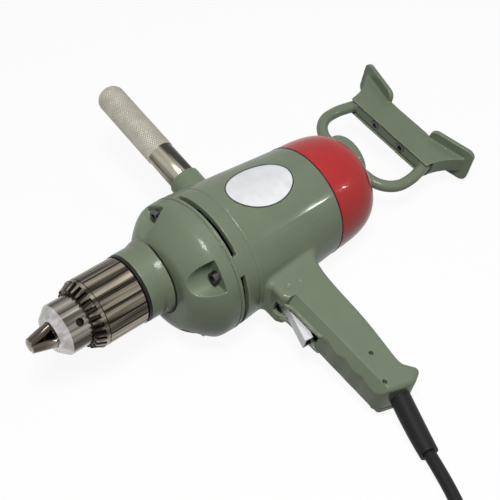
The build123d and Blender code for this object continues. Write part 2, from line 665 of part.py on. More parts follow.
def brush_gear():
    """Insulating ring with two brass holders, and the carbon brushes in them."""
    long, thick, high = BRUSH_SIZE
    ring_x = -HOUSING_LENGTH - SPIGOT_LENGTH
    board = ring(ring_x - 3.5, ring_x, HOUSING_REAR_R - CAP_WALL - 0.4,
                 CAP_SCREW_CIRCLE + 5.5 + 2 * SEAT)
    holders, brushes = [], []
    reach = COMMUTATOR_R + 3
    for way in (1, -1):
        ends = sorted((way * reach, way * (HOUSING_REAR_R - CAP_WALL - 6)))
        case = block((BRUSH_X - long / 2 - 2, ring_x - 3.5), ends, (-thick / 2 - 2, thick / 2 + 2))
        case -= block((BRUSH_X - long / 2 - SEAT, BRUSH_X + long / 2 + SEAT), ends,
                      (-thick / 2 - SEAT, thick / 2 + SEAT))
        holders.append(case)
        start = COMMUTATOR_R + BRUSH_GAP
        brush = block((BRUSH_X - long / 2, BRUSH_X + long / 2),
                      sorted((way * (start - 2), way * (start + high))), (-thick / 2, thick / 2))
        brushes.append(brush - cylinder(BRUSH_X - 20, BRUSH_X + 20, start))
    return board, Compound(holders), Compound(brushes)


def intermediate():
    """Intermediate shaft with its pinion, and the wheel that the motor drives."""
    shaft = cylinder(PLATE_THICK - INTER_BEARING, CHAMBER_END_X + INTER_BUSH, INTER_R, 0, CENTRES_1)
    mesh = degrees(atan2(-CENTRES_1, SPINDLE_Y))
    shaft += gear(PINION_2, MODULE_2, TOOTH_SHIFT, STAGE_2_X - 0.6, STAGE_2_X + GEAR_WIDTH + 0.6,
                  0, CENTRES_1, mesh)
    wheel = gear(WHEEL_1, MODULE_1, -TOOTH_SHIFT, STAGE_1_X, STAGE_1_X + GEAR_WIDTH,
                 0, CENTRES_1, -90 + 180 / WHEEL_1)
    wheel -= cylinder(STAGE_1_X, STAGE_1_X + GEAR_WIDTH, INTER_R + SEAT, 0, CENTRES_1)
    for n in range(5):
        y, z = polar(14, 72 * n)
        wheel -= cylinder(STAGE_1_X, STAGE_1_X + GEAR_WIDTH, 4.2, y, CENTRES_1 + z)
    return shaft, wheel


def spindle():
    """Output spindle and its wheel."""
    y = SPINDLE_Y
    rod = cylinder(STAGE_2_X - 0.6, CHAMBER_END_X, SPINDLE_R - 2, y)
    rod += cylinder(CHAMBER_END_X - 0.8, CHUCK_X, SPINDLE_R, y)
    rod += cylinder(CHUCK_X, CHUCK_X + 16, SPINDLE_R - 2, y)
    wheel = gear(WHEEL_2, MODULE_2, -TOOTH_SHIFT, STAGE_2_X, STAGE_2_X + GEAR_WIDTH, y, 0,
                 degrees(atan2(CENTRES_1, -SPINDLE_Y)) + 180 / WHEEL_2)
    wheel -= cylinder(STAGE_2_X, STAGE_2_X + GEAR_WIDTH, SPINDLE_R - 2 + SEAT, y)
    return rod, wheel


def jaw_axis(roll, grow=0.0):
    """Round bar along the inclined line that one jaw slides on."""
    length = (JAW_TIP_X + 4 - CHUCK_X) / cos(radians(JAW_ANGLE))
    bar = Pos(0, 0, length / 2) * Cylinder(JAW_R + grow, length)
    lean = Pos(JAW_TIP_X, 0, JAW_TIP_LINE_R) * Rot(Y=-90 + JAW_ANGLE) * Pos(0, 0, -4) * bar
    return Pos(0, SPINDLE_Y, 0) * Rot(X=-roll) * lean


def chuck_jaw(roll):
    """One hardened jaw, closed on the axis with the other two."""
    cone = turned([(JAW_REAR_X, 0), (JAW_REAR_X, 30), (NOSE_END_X - 8, 30),
                   (NOSE_END_X - 8, JAW_FACE_R + 2), (NOSE_END_X, JAW_FACE_R),
                   (JAW_TIP_X, JAW_TIP_R), (JAW_TIP_X, 0)], SPINDLE_Y)
    jaw = jaw_axis(roll) & cone
    trim = SLEEVE_BORE - 0.3 - CHUCK_CAPACITY / 2
    wedge = Pos(0, 0, 0.2) * sector(JAW_REAR_X, JAW_TIP_X, 40, 60, 0)
    wedge = wedge & block((JAW_REAR_X, JAW_TIP_X), (-40, 40), (0, trim))
    return jaw & (Pos(0, SPINDLE_Y, 0) * Rot(X=-roll) * wedge)


def chuck_body():
    """Body with rear flange, nut groove, three jaw holes and three key holes."""
    groove = JAW_TIP_LINE_R + (JAW_TIP_X - NUT_END_X) * tan(radians(JAW_ANGLE)) + JAW_R - 0.3
    x = CHUCK_X
    body = turned([(x, 0), (x, SLEEVE_BORE - FREE), (x + 4, SLEEVE_BORE - FREE), (x + 4, NOSE_R),
                   (NUT_X - 0.3, NOSE_R), (NUT_X - 0.3, groove), (NUT_END_X + 0.3, groove),
                   (NUT_END_X + 0.3, NOSE_R), (NOSE_BAND_X, NOSE_R), (NOSE_END_X, NOSE_END_R),
                   (NOSE_END_X, 0)], SPINDLE_Y)
    body -= cylinder(x, x + 16 + SEAT, SPINDLE_R - 2 + SEAT, SPINDLE_Y)
    body -= cylinder(x + 24, NOSE_END_X, BIT_BORE, SPINDLE_Y)
    for roll in JAW_ROLLS:
        body -= jaw_axis(roll, 0.3) & block((x + 4.2, 200), (-90, 90), (-90, 90))
        hole = Pos(KEY_HOLE_X, 0, NOSE_R) * Cylinder(KEY_HOLE_R, 8)
        body -= Pos(0, SPINDLE_Y, 0) * Rot(X=-(roll + 60)) * hole
    return body


def chuck_sleeve():
    """Fluted sleeve with a ring of bevel teeth for the key."""
    y, x = SPINDLE_Y, CHUCK_X + 0.1
    front_bore = NOSE_R + 0.3
    sleeve = turned([(x, SLEEVE_BORE), (x, SLEEVE_R - 0.8), (x + 0.8, SLEEVE_R),
                     (SLEEVE_END_X, SLEEVE_R), (SLEEVE_END_X + 0.6, SLEEVE_R - 0.6),
                     (TOOTH_END_X, TOOTH_END_R), (TOOTH_END_X, front_bore),
                     (NUT_END_X + SEAT, front_bore), (NUT_END_X + SEAT, NUT_R + SEAT),
                     (NUT_X - SEAT, NUT_R + SEAT), (NUT_X - SEAT, front_bore),
                     (SLEEVE_END_X - 9, front_bore), (SLEEVE_END_X - 9, SLEEVE_BORE)], y)
    for n in range(FLUTES):
        gy, gz = polar(SLEEVE_R + FLUTE_R - FLUTE_DEPTH, 360 / FLUTES * n)
        sleeve -= cylinder(x, SLEEVE_END_X - RIM_BAND, FLUTE_R, y + gy, gz)
    sleeve -= ring(SLEEVE_END_X - RIM_BAND - RIM_GROOVE_DEPTH, SLEEVE_END_X - RIM_BAND, SLEEVE_R + 1,
                   SLEEVE_R - RIM_GROOVE_DEPTH, y)
    slope = degrees(atan((SLEEVE_R - TOOTH_END_R) / (TOOTH_END_X - SLEEVE_END_X)))
    mouth, root = TOOTH_GAP
    gap = Polyline((-mouth, 1.4), (mouth, 1.4), (root, -TOOTH_DEPTH), (-root, -TOOTH_DEPTH), close=True)
    notch = extrude(Plane.YZ * make_face(gap), 20, both=True)
    for n in range(RIM_TEETH):
        place = Pos((SLEEVE_END_X + TOOTH_END_X) / 2, 0, (SLEEVE_R + TOOTH_END_R) / 2)
        cut = Rot(X=-360 / RIM_TEETH * n) * place * Rot(Y=slope + 8) * notch
        sleeve -= Pos(0, y, 0) * cut & block((SLEEVE_END_X, 200), (-90, 90), (-90, 90))
    return sleeve


def chuck_nut():
    """Threaded nut in the sleeve that drives the jaws."""
    lean = tan(radians(JAW_ANGLE))
    reach = JAW_TIP_LINE_R + JAW_R / cos(radians(JAW_ANGLE)) + 0.35
    r0 = reach + (JAW_TIP_X - NUT_X) * lean
    r1 = reach + (JAW_TIP_X - NUT_END_X) * lean
    return turned([(NUT_X, r0), (NUT_X, NUT_R), (NUT_END_X, NUT_R), (NUT_END_X, r1)], SPINDLE_Y)


def trigger():
    """Pressed channel lever that swings on a cross pin."""
    px, py = PIVOT
    front = [(px + 4.7, py), (px + 6.5, py + 12), (px + 15.3, py + 40.3)]
    side = front + [(px + 8, py + 41.3), (px + 1, py + 20), (px - 4.7, py)]
    lever = extrude(make_face(Polyline(*side, close=True)), TRIGGER_HALF, both=True)
    hollow = [(x - 1.06 * TRIGGER_SHEET, y) for x, y in front]
    hollow = [(hollow[0][0], py - 20)] + hollow[1:]
    hollow += [(hollow[-1][0], py + 60), (px - 30, py + 60), (px - 30, py - 20)]
    room = extrude(make_face(Polyline(*hollow, close=True)), TRIGGER_HALF - TRIGGER_SHEET,
                   both=True)
    barrel = Pos(px, py, 0) * Cylinder(PIVOT_R + 2.9, 2 * TRIGGER_HALF)
    lever = lever - room + barrel
    return lever - Pos(px, py, 0) * Cylinder(PIVOT_R + RUN, 60)


def switch_pieces():
    """Switch body in the grip and the button that the trigger pushes in."""
    body = block(SWITCH_X, SWITCH_Y, (COVER_SPLIT_Z + 2, SWITCH_HALF))
    y0, y1 = PIVOT[1] + BUTTON_Y[0], PIVOT[1] + BUTTON_Y[1]
    tip = PIVOT[0] + BUTTON_REACH
    button = block((SWITCH_X[1] - 9, tip), (y0, y1), (-BUTTON_HALF, BUTTON_HALF))
    gap = FREE * 0.6
    body -= block((SWITCH_X[1] - 17, SWITCH_X[1] + 1), (y0 - gap, y1 + gap),
                  (-BUTTON_HALF - gap, BUTTON_HALF + gap))
    lug_x, lug_y = switch_pin_place()
    lug = block((lug_x - 5, lug_x + 5), (lug_y - 5, SWITCH_Y[0] + 1), (-SLOT_HALF, SLOT_HALF))
    body += lug
    body -= Pos(lug_x, lug_y, 0) * Cylinder(PIVOT_R + SEAT, 60)
    return body, button


def cross_pin(x, y):
    """Plain pin through both sides of the grip."""
    return Pos(x, y, 0) * Cylinder(PIVOT_R, 2 * GRIP_HALF - 0.6)


def side_line():
    """Axes of the side handle: Y runs out along it from the middle of the barrel."""
    return Pos(SIDE_X, 0, 0) * Rot(Z=180 - SIDE_LEAN)


def side_handle():
    """Plated steel bar, knurled, with a round end and a threaded stud."""
    end, knurl, foot = -SIDE_END_Y, -SIDE_KNURL_Y, -SIDE_BOSS_Y
    line = Line((0, foot - STUD_LENGTH), (STUD_R, foot - STUD_LENGTH))
    line += Line((STUD_R, foot - STUD_LENGTH), (STUD_R, foot + SEAT))
    line += Line((STUD_R, foot + SEAT), (SIDE_NECK_R, foot + SEAT))
    line += Line((SIDE_NECK_R, foot + SEAT), (SIDE_NECK_R, knurl))
    line += Line((SIDE_NECK_R, knurl), (SIDE_R, knurl + 2))
    line += Line((SIDE_R, knurl + 2), (SIDE_R, end - 7))
    line += ThreePointArc((SIDE_R, end - 7), (SIDE_R - 3.2, end - 1.8), (SIDE_R - 7.5, end))
    line += Line((SIDE_R - 7.5, end), (0, end)) + Line((0, end), (0, foot - STUD_LENGTH))
    bar = revolve(make_face(line), Axis.Y)
    return side_line() * bar


def d_handle():
    """Cast loop handle: round boss, two bowed arms and a flat bar."""
    y, x0 = HANDLE_Y, CAP_END_X
    rear = x0 - DH_BOSS_THICK
    boss = cylinder(rear, x0, DH_BOSS_R, y)
    handle = fillet(boss.edges().group_by(Axis.X)[0], 2.5)
    for way in (1, -1):
        wide, bar_end = y + way * (DH_HALF + 1), y + way * (DH_HALF + 1 - DH_BOW)
        path = FilletPolyline((rear + 1, y + way * 10), (rear - 2, wide), (BAR_X + 16, wide),
                              (BAR_X - BAR_THICK, bar_end), radius=[DH_BEND, 2 * DH_BEND])
        start = Plane(path @ 0, z_dir=path % 0)
        handle += sweep(start * Circle(DH_ROD_R), path=path)
    handle -= block((BAR_X - 40, BAR_X - BAR_THICK), (y - 90, y + 90), (-20, 20))
    half = DH_HALF + 1 - DH_BOW
    bar = block((BAR_X - BAR_THICK, BAR_X), (y - half, y + half), (-BAR_HALF, BAR_HALF))
    handle += fillet(bar.edges().filter_by(Axis.Y).group_by(Axis.X)[-1], 2.5)
    for sy, sz in handle_screw_places():
        handle -= cylinder(rear, x0, 2.5 + SEAT, sy, sz)
        handle -= cylinder(rear, rear + 9, 4.2 + SEAT, sy, sz)
    for sy in plate_screw_places():
        handle -= cylinder(BAR_X - BAR_THICK, BAR_X, 2.5 + SEAT, sy)
        handle -= cylinder(BAR_X - 3, BAR_X, 4.6 + SEAT, sy)
    return handle


def plate_screw_places():
    """Two screws that hold the breast plate on the bar."""
    return HANDLE_Y - 16, HANDLE_Y + 16


def breast_plate():
    """Fan-shaped web that grips the bar, with two swept pads for the chest."""
    y0, front, back = HANDLE_Y, BAR_X + 1, WEB_BACK_X
    corner = (back - PAD_REACH - 7, PAD_OUTER - 3)
    lines = Line((front, -WEB_FRONT_HALF), (front, WEB_FRONT_HALF))
    for way in (1, -1):
        lines += ThreePointArc((front, way * WEB_FRONT_HALF),
                               ((front + corner[0]) / 2, way * (WEB_FRONT_HALF + 4.5)),
                               (corner[0], way * corner[1]))
        lines += Line((corner[0], way * corner[1]), (back, way * PAD_INNER))
    lines += Line((back, -PAD_INNER), (back, PAD_INNER))
    web = extrude(make_face(lines), WEB_HALF, both=True)
    for way in (1, -1):
        web += chest_pad(way)
    bar_seat = block((BAR_X - BAR_THICK - SEAT, 0), (-200, 200),
                     (-BAR_HALF - SEAT, BAR_HALF + SEAT))
    plate = Pos(0, y0, 0) * (web - bar_seat)
    for sy in plate_screw_places():
        plate -= cylinder(BAR_X - BAR_THICK - 14, BAR_X, 2.5 + SEAT, sy)
    return plate


def chest_pad(way):
    """One pad: a rounded plate swept back towards its outer end."""
    long = (PAD_OUTER - PAD_INNER) / cos(radians(PAD_SWEEP))
    pad = Box(PAD_THICK, long, 2 * PAD_HALF)
    pad = fillet(pad.edges().filter_by(Axis.X), 7)
    pad = fillet(pad.faces().sort_by(Axis.X)[0].edges(), 1.5)
    middle = WEB_BACK_X - PAD_REACH + PAD_THICK / 2 - tan(radians(PAD_SWEEP)) * (PAD_OUTER - PAD_INNER) / 2
    return Pos(middle, way * (PAD_INNER + PAD_OUTER) / 2, 0) * Rot(Z=way * PAD_SWEEP) * pad


def name_plate():
    """Bare oval plate that follows the barrel."""
    r0 = HOUSING_FRONT_R + 2 * SEAT
    r1 = r0 + PLATE_SHEET
    drop = HOUSING_FRONT_R - HOUSING_REAR_R
    skin = turned([(0, r0), (0, r1), (-HOUSING_LENGTH, r1 - drop), (-HOUSING_LENGTH, r0 - drop)])
    oval = extrude(Pos(PLATE_X, 0) * Ellipse(PLATE_LONG / 2, PLATE_WIDE / 2), 90)
    return Rot(X=PLATE_TURN) * (skin & oval)


def guard_frames():
    """Stations of the cord guard: a gentle bend forward and down."""
    stations = ((0, 0, 0), (7.9, GUARD_LENGTH * 0.5, -0.9), (15.6, GUARD_LENGTH, -0.4))
    heading = ((END_SLOPE, 1, 0), (0.34, 1, -0.01), (0.32, 1, 0.12))
    return [Plane((GUARD_X + a, GRIP_END_Y + b, c), x_dir=(0, 0, 1), z_dir=d)
            for (a, b, c), d in zip(stations, heading)]


def cord_guard():
    """Rubber sleeve that keeps the cord from kinking at the grip."""
    sections = [frame * Circle(r) for frame, r in zip(guard_frames(), GUARD_R)]
    foot = Location(guard_frames()[0]) * Pos(0, 0, -3) * Cylinder(GUARD_FOOT_R, 10)
    return loft(sections) + foot


def cord_clamp():
    """Clamp that holds the cord inside the grip."""
    x, y, half = GUARD_X, GRIP_END_Y, CORD_R + 2.5
    saddle = block((x - half, x + half), (y - 28, y - 16),
                   (COVER_SPLIT_Z + 2 * SEAT, GRIP_HALF - GRIP_WALL - SEAT))
    return saddle - Pos(x, y - 20, 0) * Rot(X=90) * Cylinder(CORD_R + SEAT, 40)


def coil_height(layer):
    """Height of the cord's centre line in a layer of the coil; the tie lies under it."""
    return CORD_R + TIE_SHEET + TIE_GAP + layer * COIL_PITCH


def cord_route(tip, heading):
    """Points of the free stretch, from the end of the guard to the start of the coil."""
    turn = degrees(atan2(heading.Y, heading.X))
    points = [tip, tip + heading * CORD_RUNS[0]]
    drop = points[1].Z - coil_height(0)
    for run, bend, share in zip(CORD_RUNS[1:], CORD_TURNS, (0.1, 0, 0)):
        turn += bend
        last = points[-1] + Vector(cos(radians(turn)), sin(radians(turn)), 0) * run
        points.append(Vector(last.X, last.Y, coil_height(0) + drop * share))
    return points, turn


def cord(points):
    """Free stretch of the cord: straight runs joined by arcs as large as they allow."""
    radii = []
    for a, b, c in zip(points, points[1:], points[2:]):
        bend = radians((b - a).get_angle(c - b))
        radii.append(0.45 * min((b - a).length, (c - b).length) / tan(bend / 2))
    path = FilletPolyline(*points, radius=radii)
    tube = sweep(Plane(path @ 0, z_dir=path % 0) * Circle(CORD_R), path=path)
    print("cord radii:", [round(r) for r in radii], "volume ratio:",
          round(tube.volume / (pi * CORD_R**2 * path.length), 4))
    return tube


def half_turn(u0, u1, z, side):
    """Flat half circle from one place to another on the line across the coil."""
    return ThreePointArc((0, u0, z), (side * abs(u1 - u0) / 2, (u0 + u1) / 2, z), (0, u1, z))


def climb(u0, u1, z, side):
    """Two leaning quarter circles that rise by one layer on the way round."""
    r, h, middle = abs(u1 - u0) / 2, COIL_PITCH / 2, (u0 + u1) / 2
    way = 1 if u1 > u0 else -1
    reach = hypot(r, h)
    low, high = (0, u0, z), (0, u1, z + 2 * h)
    top = (side * reach, middle, z + h)
    k = sqrt(0.5)
    first = ThreePointArc(low, (side * reach * k, u0 + way * r * (1 - k), z + h * (1 - k)), top)
    second = ThreePointArc(top, (side * reach * k, middle + way * r * k, z + h + h * k), high)
    return [first, second]


def coil_path():
    """Centre line of the coil in its own axes: in along X, round, up and out along X."""
    step, count = COIL_PITCH / 2, COIL_HALF_TURNS
    radius = COIL_INNER_R + step * (count - 1)
    u, z, side = radius, coil_height(0), 1
    lines = [Line((-2 * CORD_R, u, z), (0, u, z))]
    turns = [radius - step * n for n in range(count)]
    for n, r in enumerate(turns + [turns[-1] - step] + turns[:0:-1]):
        nxt = u - side * 2 * r
        if n == count:
            lines += climb(u, nxt, z, side)
            z = coil_height(1)
        else:
            lines.append(half_turn(u, nxt, z, side))
        u, side = nxt, -side
    lines.append(Line((0, u, z), (COIL_TAIL, u, z)))
    return Wire([e for line in lines for e in line.edges()]), u


def cord_coil():
    """Cord wound in two layers, one unbroken tube."""
    path, _ = coil_path()
    start = Plane((-2 * CORD_R, path.position_at(0).Y, coil_height(0)), z_dir=(1, 0, 0))
    tube = sweep(start * Circle(CORD_R), path=path)
    count = int(path.length / 2.5)
    spots = [tuple(path.position_at(k / count)) for k in range(count + 1)]
    apart = int(4 * CORD_R * count / path.length) + 1
    near = min(dist(p, q) for k, p in enumerate(spots) for q in spots[k + apart:])
    print("coil length:", round(path.length), "least gap to itself:", round(near - 2 * CORD_R, 2),
          "volume ratio:", round(tube.volume / (pi * CORD_R**2 * path.length), 4))
    return tube


def cord_tie():
    """Flat strap round one side of the coil."""
    step, count = COIL_PITCH / 2, COIL_HALF_TURNS
    outer = COIL_INNER_R + step * (count - 2) + CORD_R + TIE_GAP
    inner = COIL_INNER_R - step * 1.2 - CORD_R - step - TIE_GAP
    low = coil_height(0) - CORD_R - TIE_GAP
    high = coil_height(1) + CORD_R + TIE_GAP
    middle = Pos((-outer - inner) / 2, -step, (low + high) / 2)
    hole = Box(outer - inner, 2 * TIE_WIDTH, high - low)
    strap = Box(outer - inner + 2 * TIE_SHEET, TIE_WIDTH, high - low + 2 * TIE_SHEET)
    strap = fillet(strap.edges().filter_by(Axis.Y), 2 * TIE_SHEET)
    return middle * (strap - fillet(hole.edges().filter_by(Axis.Y), TIE_SHEET))


def plug():
    """Round two-pin plug that lies on the floor at the end of the cord."""
    _, u = coil_path()
    r, x = coil_height(1), COIL_TAIL
    spot = (u, coil_height(1))
    body = turned([(x, 0), (x, PLUG_NECK_R - 1), (x + 12, PLUG_NECK_R), (x + 16, r - 3),
                   (x + 24, r), (x + PLUG_LENGTH, r), (x + PLUG_LENGTH, 0)], *spot)
    x1 = x + PLUG_LENGTH
    pins = []
    for way in (-0.5, 0.5):
        pin = cylinder(x1, x1 + PLUG_PIN_LENGTH, PLUG_PIN_R, u + way * PLUG_PIN_SPACE, spot[1])
        pins.append(fillet(pin.edges().group_by(Axis.X)[-1], 1.6))
    return body, Compound(pins)


def cord_set(place):
    """Cord, coil, tie and plug on the floor, from the end of the guard onwards."""
    end = place * Location(guard_frames()[-1])
    tip = end.position
    heading = Plane(end).z_dir
    points, turn = cord_route(tip, heading)
    path, _ = coil_path()
    entry = path.position_at(0)
    spot = Pos(points[-1].X, points[-1].Y, 0) * Rot(Z=turn) * Pos(-entry.X, -entry.Y, 0)
    body, pins = plug()
    return {"cord": cord(points), "cord_coil": spot * cord_coil(), "cord_tie": spot * cord_tie(),
            "plug_body": spot * body, "plug_pins": spot * pins}


def rest_angles():
    """Pitch and roll, in degrees, at which the drill lies by itself on a floor."""
    pitch = atan((HOUSING_FRONT_R - HOUSING_REAR_R) / HOUSING_LENGTH)
    cx = GRIP_WAIST_X + 5
    cy, cz = grip_end(cx) - GRIP_EDGE_R, -GRIP_HALF + GRIP_EDGE_R
    reach = -HOUSING_FRONT_R + (GRIP_EDGE_R - sin(pitch) * cx) / cos(pitch)
    roll = acos(reach / hypot(cy, cz)) - atan2(cy, cz)
    return degrees(pitch), degrees(roll)


def lay_down(pieces):
    """Turn the drill on its side and put the middle of its box over the origin."""
    pitch, roll = rest_angles()
    turn = Rot(Y=-pitch) * Rot(X=-roll)
    box = Compound([turn * p for p in pieces.values()]).bounding_box()
    place = Pos(-box.center().X, -box.center().Y, -box.min.Z) * turn
    return place


def bearings():
    """Plain rings that stand for the ball and needle bearings, and the seal."""
    x = SPINDLE_BEARING_X
    return {
        "armature_bearing_front": ring(0, BEARING_WIDTH, BEARING_R, JOURNAL_R + RUN),
        "armature_bearing_rear": ring(REAR_BEARING_X - BEARING_WIDTH, REAR_BEARING_X,
                                      REAR_BEARING_R, REAR_JOURNAL_R + RUN),
        "intermediate_bearing_rear": ring(PLATE_THICK - INTER_BEARING, PLATE_THICK,
                                          INTER_BEARING_R, INTER_R + RUN, 0, CENTRES_1),
        "intermediate_bearing_front": ring(CHAMBER_END_X, CHAMBER_END_X + INTER_BUSH,
                                           INTER_BUSH_R, INTER_R + RUN, 0, CENTRES_1),
        "spindle_bearing_rear": ring(CHAMBER_END_X + 1.5, x - 1, NEEDLE_R, SPINDLE_R + RUN,
                                     SPINDLE_Y),
        "spindle_bearing_front": ring(x, COLLAR_END_X - 1.5, BALL_R, SPINDLE_R + RUN, SPINDLE_Y),
        "dust_seal": ring(COLLAR_END_X, COLLAR_END_X + SEAL_THICK, COLLAR_R - 0.3,
                          SPINDLE_R + 0.3, SPINDLE_Y),
    }


def fasteners():
    """Screws, each set in one node."""
    case = [screw(POCKET_FLOOR_X, -16, 4.5, 5, 2.5, *polar(CASE_SCREW_CIRCLE, a))
            for a in LUG_ANGLES]
    cap = [screw(CAP_END_X + 5, -HOUSING_LENGTH + FLANGE_THICK - 1, 4.2, 4.5, 2.5,
                 *polar(CAP_SCREW_CIRCLE, a), way=-1) for a in CAP_SCREW_ANGLES]
    x = CAP_END_X - DH_BOSS_THICK + 9
    loop = [screw(x, CAP_WALL_X - 1, 4.2, 4.5, 2.5, y, z, way=-1)
            for y, z in handle_screw_places()]
    pads = [screw(BAR_X - 3, BAR_X - BAR_THICK - 13, 4.6, 2.8, 2.5, y, 0)
            for y in plate_screw_places()]
    cover = [cover_screw(x, y) for x, y in cover_screw_places()]
    return {"gear_case_screws": Compound(case), "end_cap_screws": Compound(cap),
            "d_handle_screws": Compound(loop), "breast_plate_screws": Compound(pads),
            "grip_cover_screws": Compound(cover)}


def cover_screw(x, y):
    """Screw through the grip, with its head sunk in the cover."""
    head = Pos(x, y, -GRIP_HALF + COVER_SINK - COVER_HEAD / 2) * Cylinder(COVER_HEAD_R, COVER_HEAD)
    tip = GRIP_HALF - COVER_SINK
    shank = Pos(x, y, 0) * Cylinder(COVER_SCREW_R, 2 * tip)
    return head + shank


def drill():
    """All pieces of the drill itself, in its own axes."""
    shaft, core, winding, commutator = armature()
    stator_core, field_coils = stator()
    brush_ring, brush_holders, brushes = brush_gear()
    inter_shaft, inter_wheel = intermediate()
    rod, wheel = spindle()
    switch_body, button = switch_pieces()
    pieces = {
        "motor_housing": motor_housing(), "gear_case": gear_case(), "gear_plate": gear_plate(),
        "end_cap": end_cap(), "grip_cover": grip_cover(), "name_plate": name_plate(),
        "side_handle": side_handle(), "d_handle": d_handle(), "breast_plate": breast_plate(),
        "trigger": trigger(), "trigger_pin": cross_pin(*PIVOT),
        "switch_pin": cross_pin(*switch_pin_place()), "switch_body": switch_body,
        "switch_button": button, "armature_shaft": shaft, "armature_core": core,
        "armature_winding": winding, "commutator": commutator, "cooling_fan": cooling_fan(),
        "stator_core": stator_core, "field_coils": field_coils, "brush_ring": brush_ring,
        "brush_holders": brush_holders, "carbon_brushes": brushes,
        "intermediate_shaft": inter_shaft, "intermediate_gear": inter_wheel,
        "spindle": rod, "spindle_gear": wheel, "chuck_body": chuck_body(),
        "chuck_sleeve": chuck_sleeve(), "chuck_nut": chuck_nut(),
        "cord_clamp": cord_clamp(),
    }
    for n, roll in enumerate(JAW_ROLLS, 1):
        pieces[f"chuck_jaw_{n}"] = chuck_jaw(roll)
    pieces.update(bearings())
    pieces.update(fasteners())
    return pieces


def main():
    os.makedirs("parts", exist_ok=True)
    pieces = drill()
    place = lay_down(pieces)
    pieces["cord_guard"] = cord_guard()
    pieces = {name: place * piece for name, piece in pieces.items()}
    pieces.update(cord_set(place))
    for name, piece in pieces.items():
        export_step(piece, f"parts/{name}.step")
    print("pitch, roll:", rest_angles(), "place:", place)


if __name__ == "__main__":
    main()
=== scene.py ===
"""Looks of a heavy corded drill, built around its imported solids.

Every piece is in metres in the frame of the solids. The drill's own axes (X along the motor
towards the chuck, Y down the pistol grip, Z out of the side with the oval plate) are read
from the joints, so that pieces and finishes follow the drill as it lies on the floor. Sizes
that the classes hold are in millimetres, unless a comment says otherwise.
"""
import json
import logging
import math
from collections.abc import Callable, Sequence
from dataclasses import dataclass
from enum import Enum

import bmesh
import bpy
from mathutils import Matrix, Vector


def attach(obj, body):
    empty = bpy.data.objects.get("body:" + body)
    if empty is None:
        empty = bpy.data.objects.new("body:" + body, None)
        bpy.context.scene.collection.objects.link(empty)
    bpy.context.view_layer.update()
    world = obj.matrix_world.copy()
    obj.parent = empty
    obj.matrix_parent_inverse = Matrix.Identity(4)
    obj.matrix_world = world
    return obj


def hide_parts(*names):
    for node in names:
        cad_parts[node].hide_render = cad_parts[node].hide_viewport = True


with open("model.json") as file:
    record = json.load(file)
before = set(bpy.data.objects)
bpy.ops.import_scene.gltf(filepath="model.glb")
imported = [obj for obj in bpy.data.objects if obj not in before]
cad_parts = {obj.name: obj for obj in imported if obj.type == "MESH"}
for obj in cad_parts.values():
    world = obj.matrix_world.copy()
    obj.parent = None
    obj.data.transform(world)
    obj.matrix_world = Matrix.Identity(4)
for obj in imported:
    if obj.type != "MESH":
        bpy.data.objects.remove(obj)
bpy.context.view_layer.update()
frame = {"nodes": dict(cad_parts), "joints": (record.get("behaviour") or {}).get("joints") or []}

log = logging.getLogger("drill")
Colour = tuple[float, float, float]
Point = tuple[float, float, float]
Feed = bpy.types.NodeSocket | Colour | float

MM = 0.001
WHITE = (1.0, 1.0, 1.0, 1.0)
# body that every new piece rides on
HOUSING = "body"
# the spindle's axis lies this far beside the motor's, away from the grip
SPINDLE_Y = -10.77
# edges of the solids that are sharper than this stay sharp, in degrees
SHARP_EDGE = 32.0
# order of the smooth lines that beads and cord follow
SMOOTH_ORDER = 3
# how finely a bead is round, and divided between its points
BEAD_SIDES = 4
BEAD_STEPS = 6


def drill_axes() -> Matrix:
    """Matrix from the drill's own axes to the row frame.

    Returns:
        Rotation and place, taken from the motor's and the trigger's joints.
    """
    joints = {j["name"]: j for j in frame["joints"]}
    x_axis = Vector(joints["armature_turn"]["axis"]).normalized()
    z_axis = Vector(joints["trigger_pull"]["axis"]).normalized()
    y_axis = z_axis.cross(x_axis)
    turn = Matrix((x_axis, y_axis, z_axis)).transposed().to_4x4()
    return Matrix.Translation(joints["armature_turn"]["pos_m"]) @ turn


DRILL = drill_axes()


class Slot(Enum):
    """Material slots of the record, passed with each new piece."""

    GREEN = "green_casting"
    RED = "red_casting"
    ZINC = "yellow_zinc"
    RUBBER = "rubber"
    DARK = "dark_plastic"


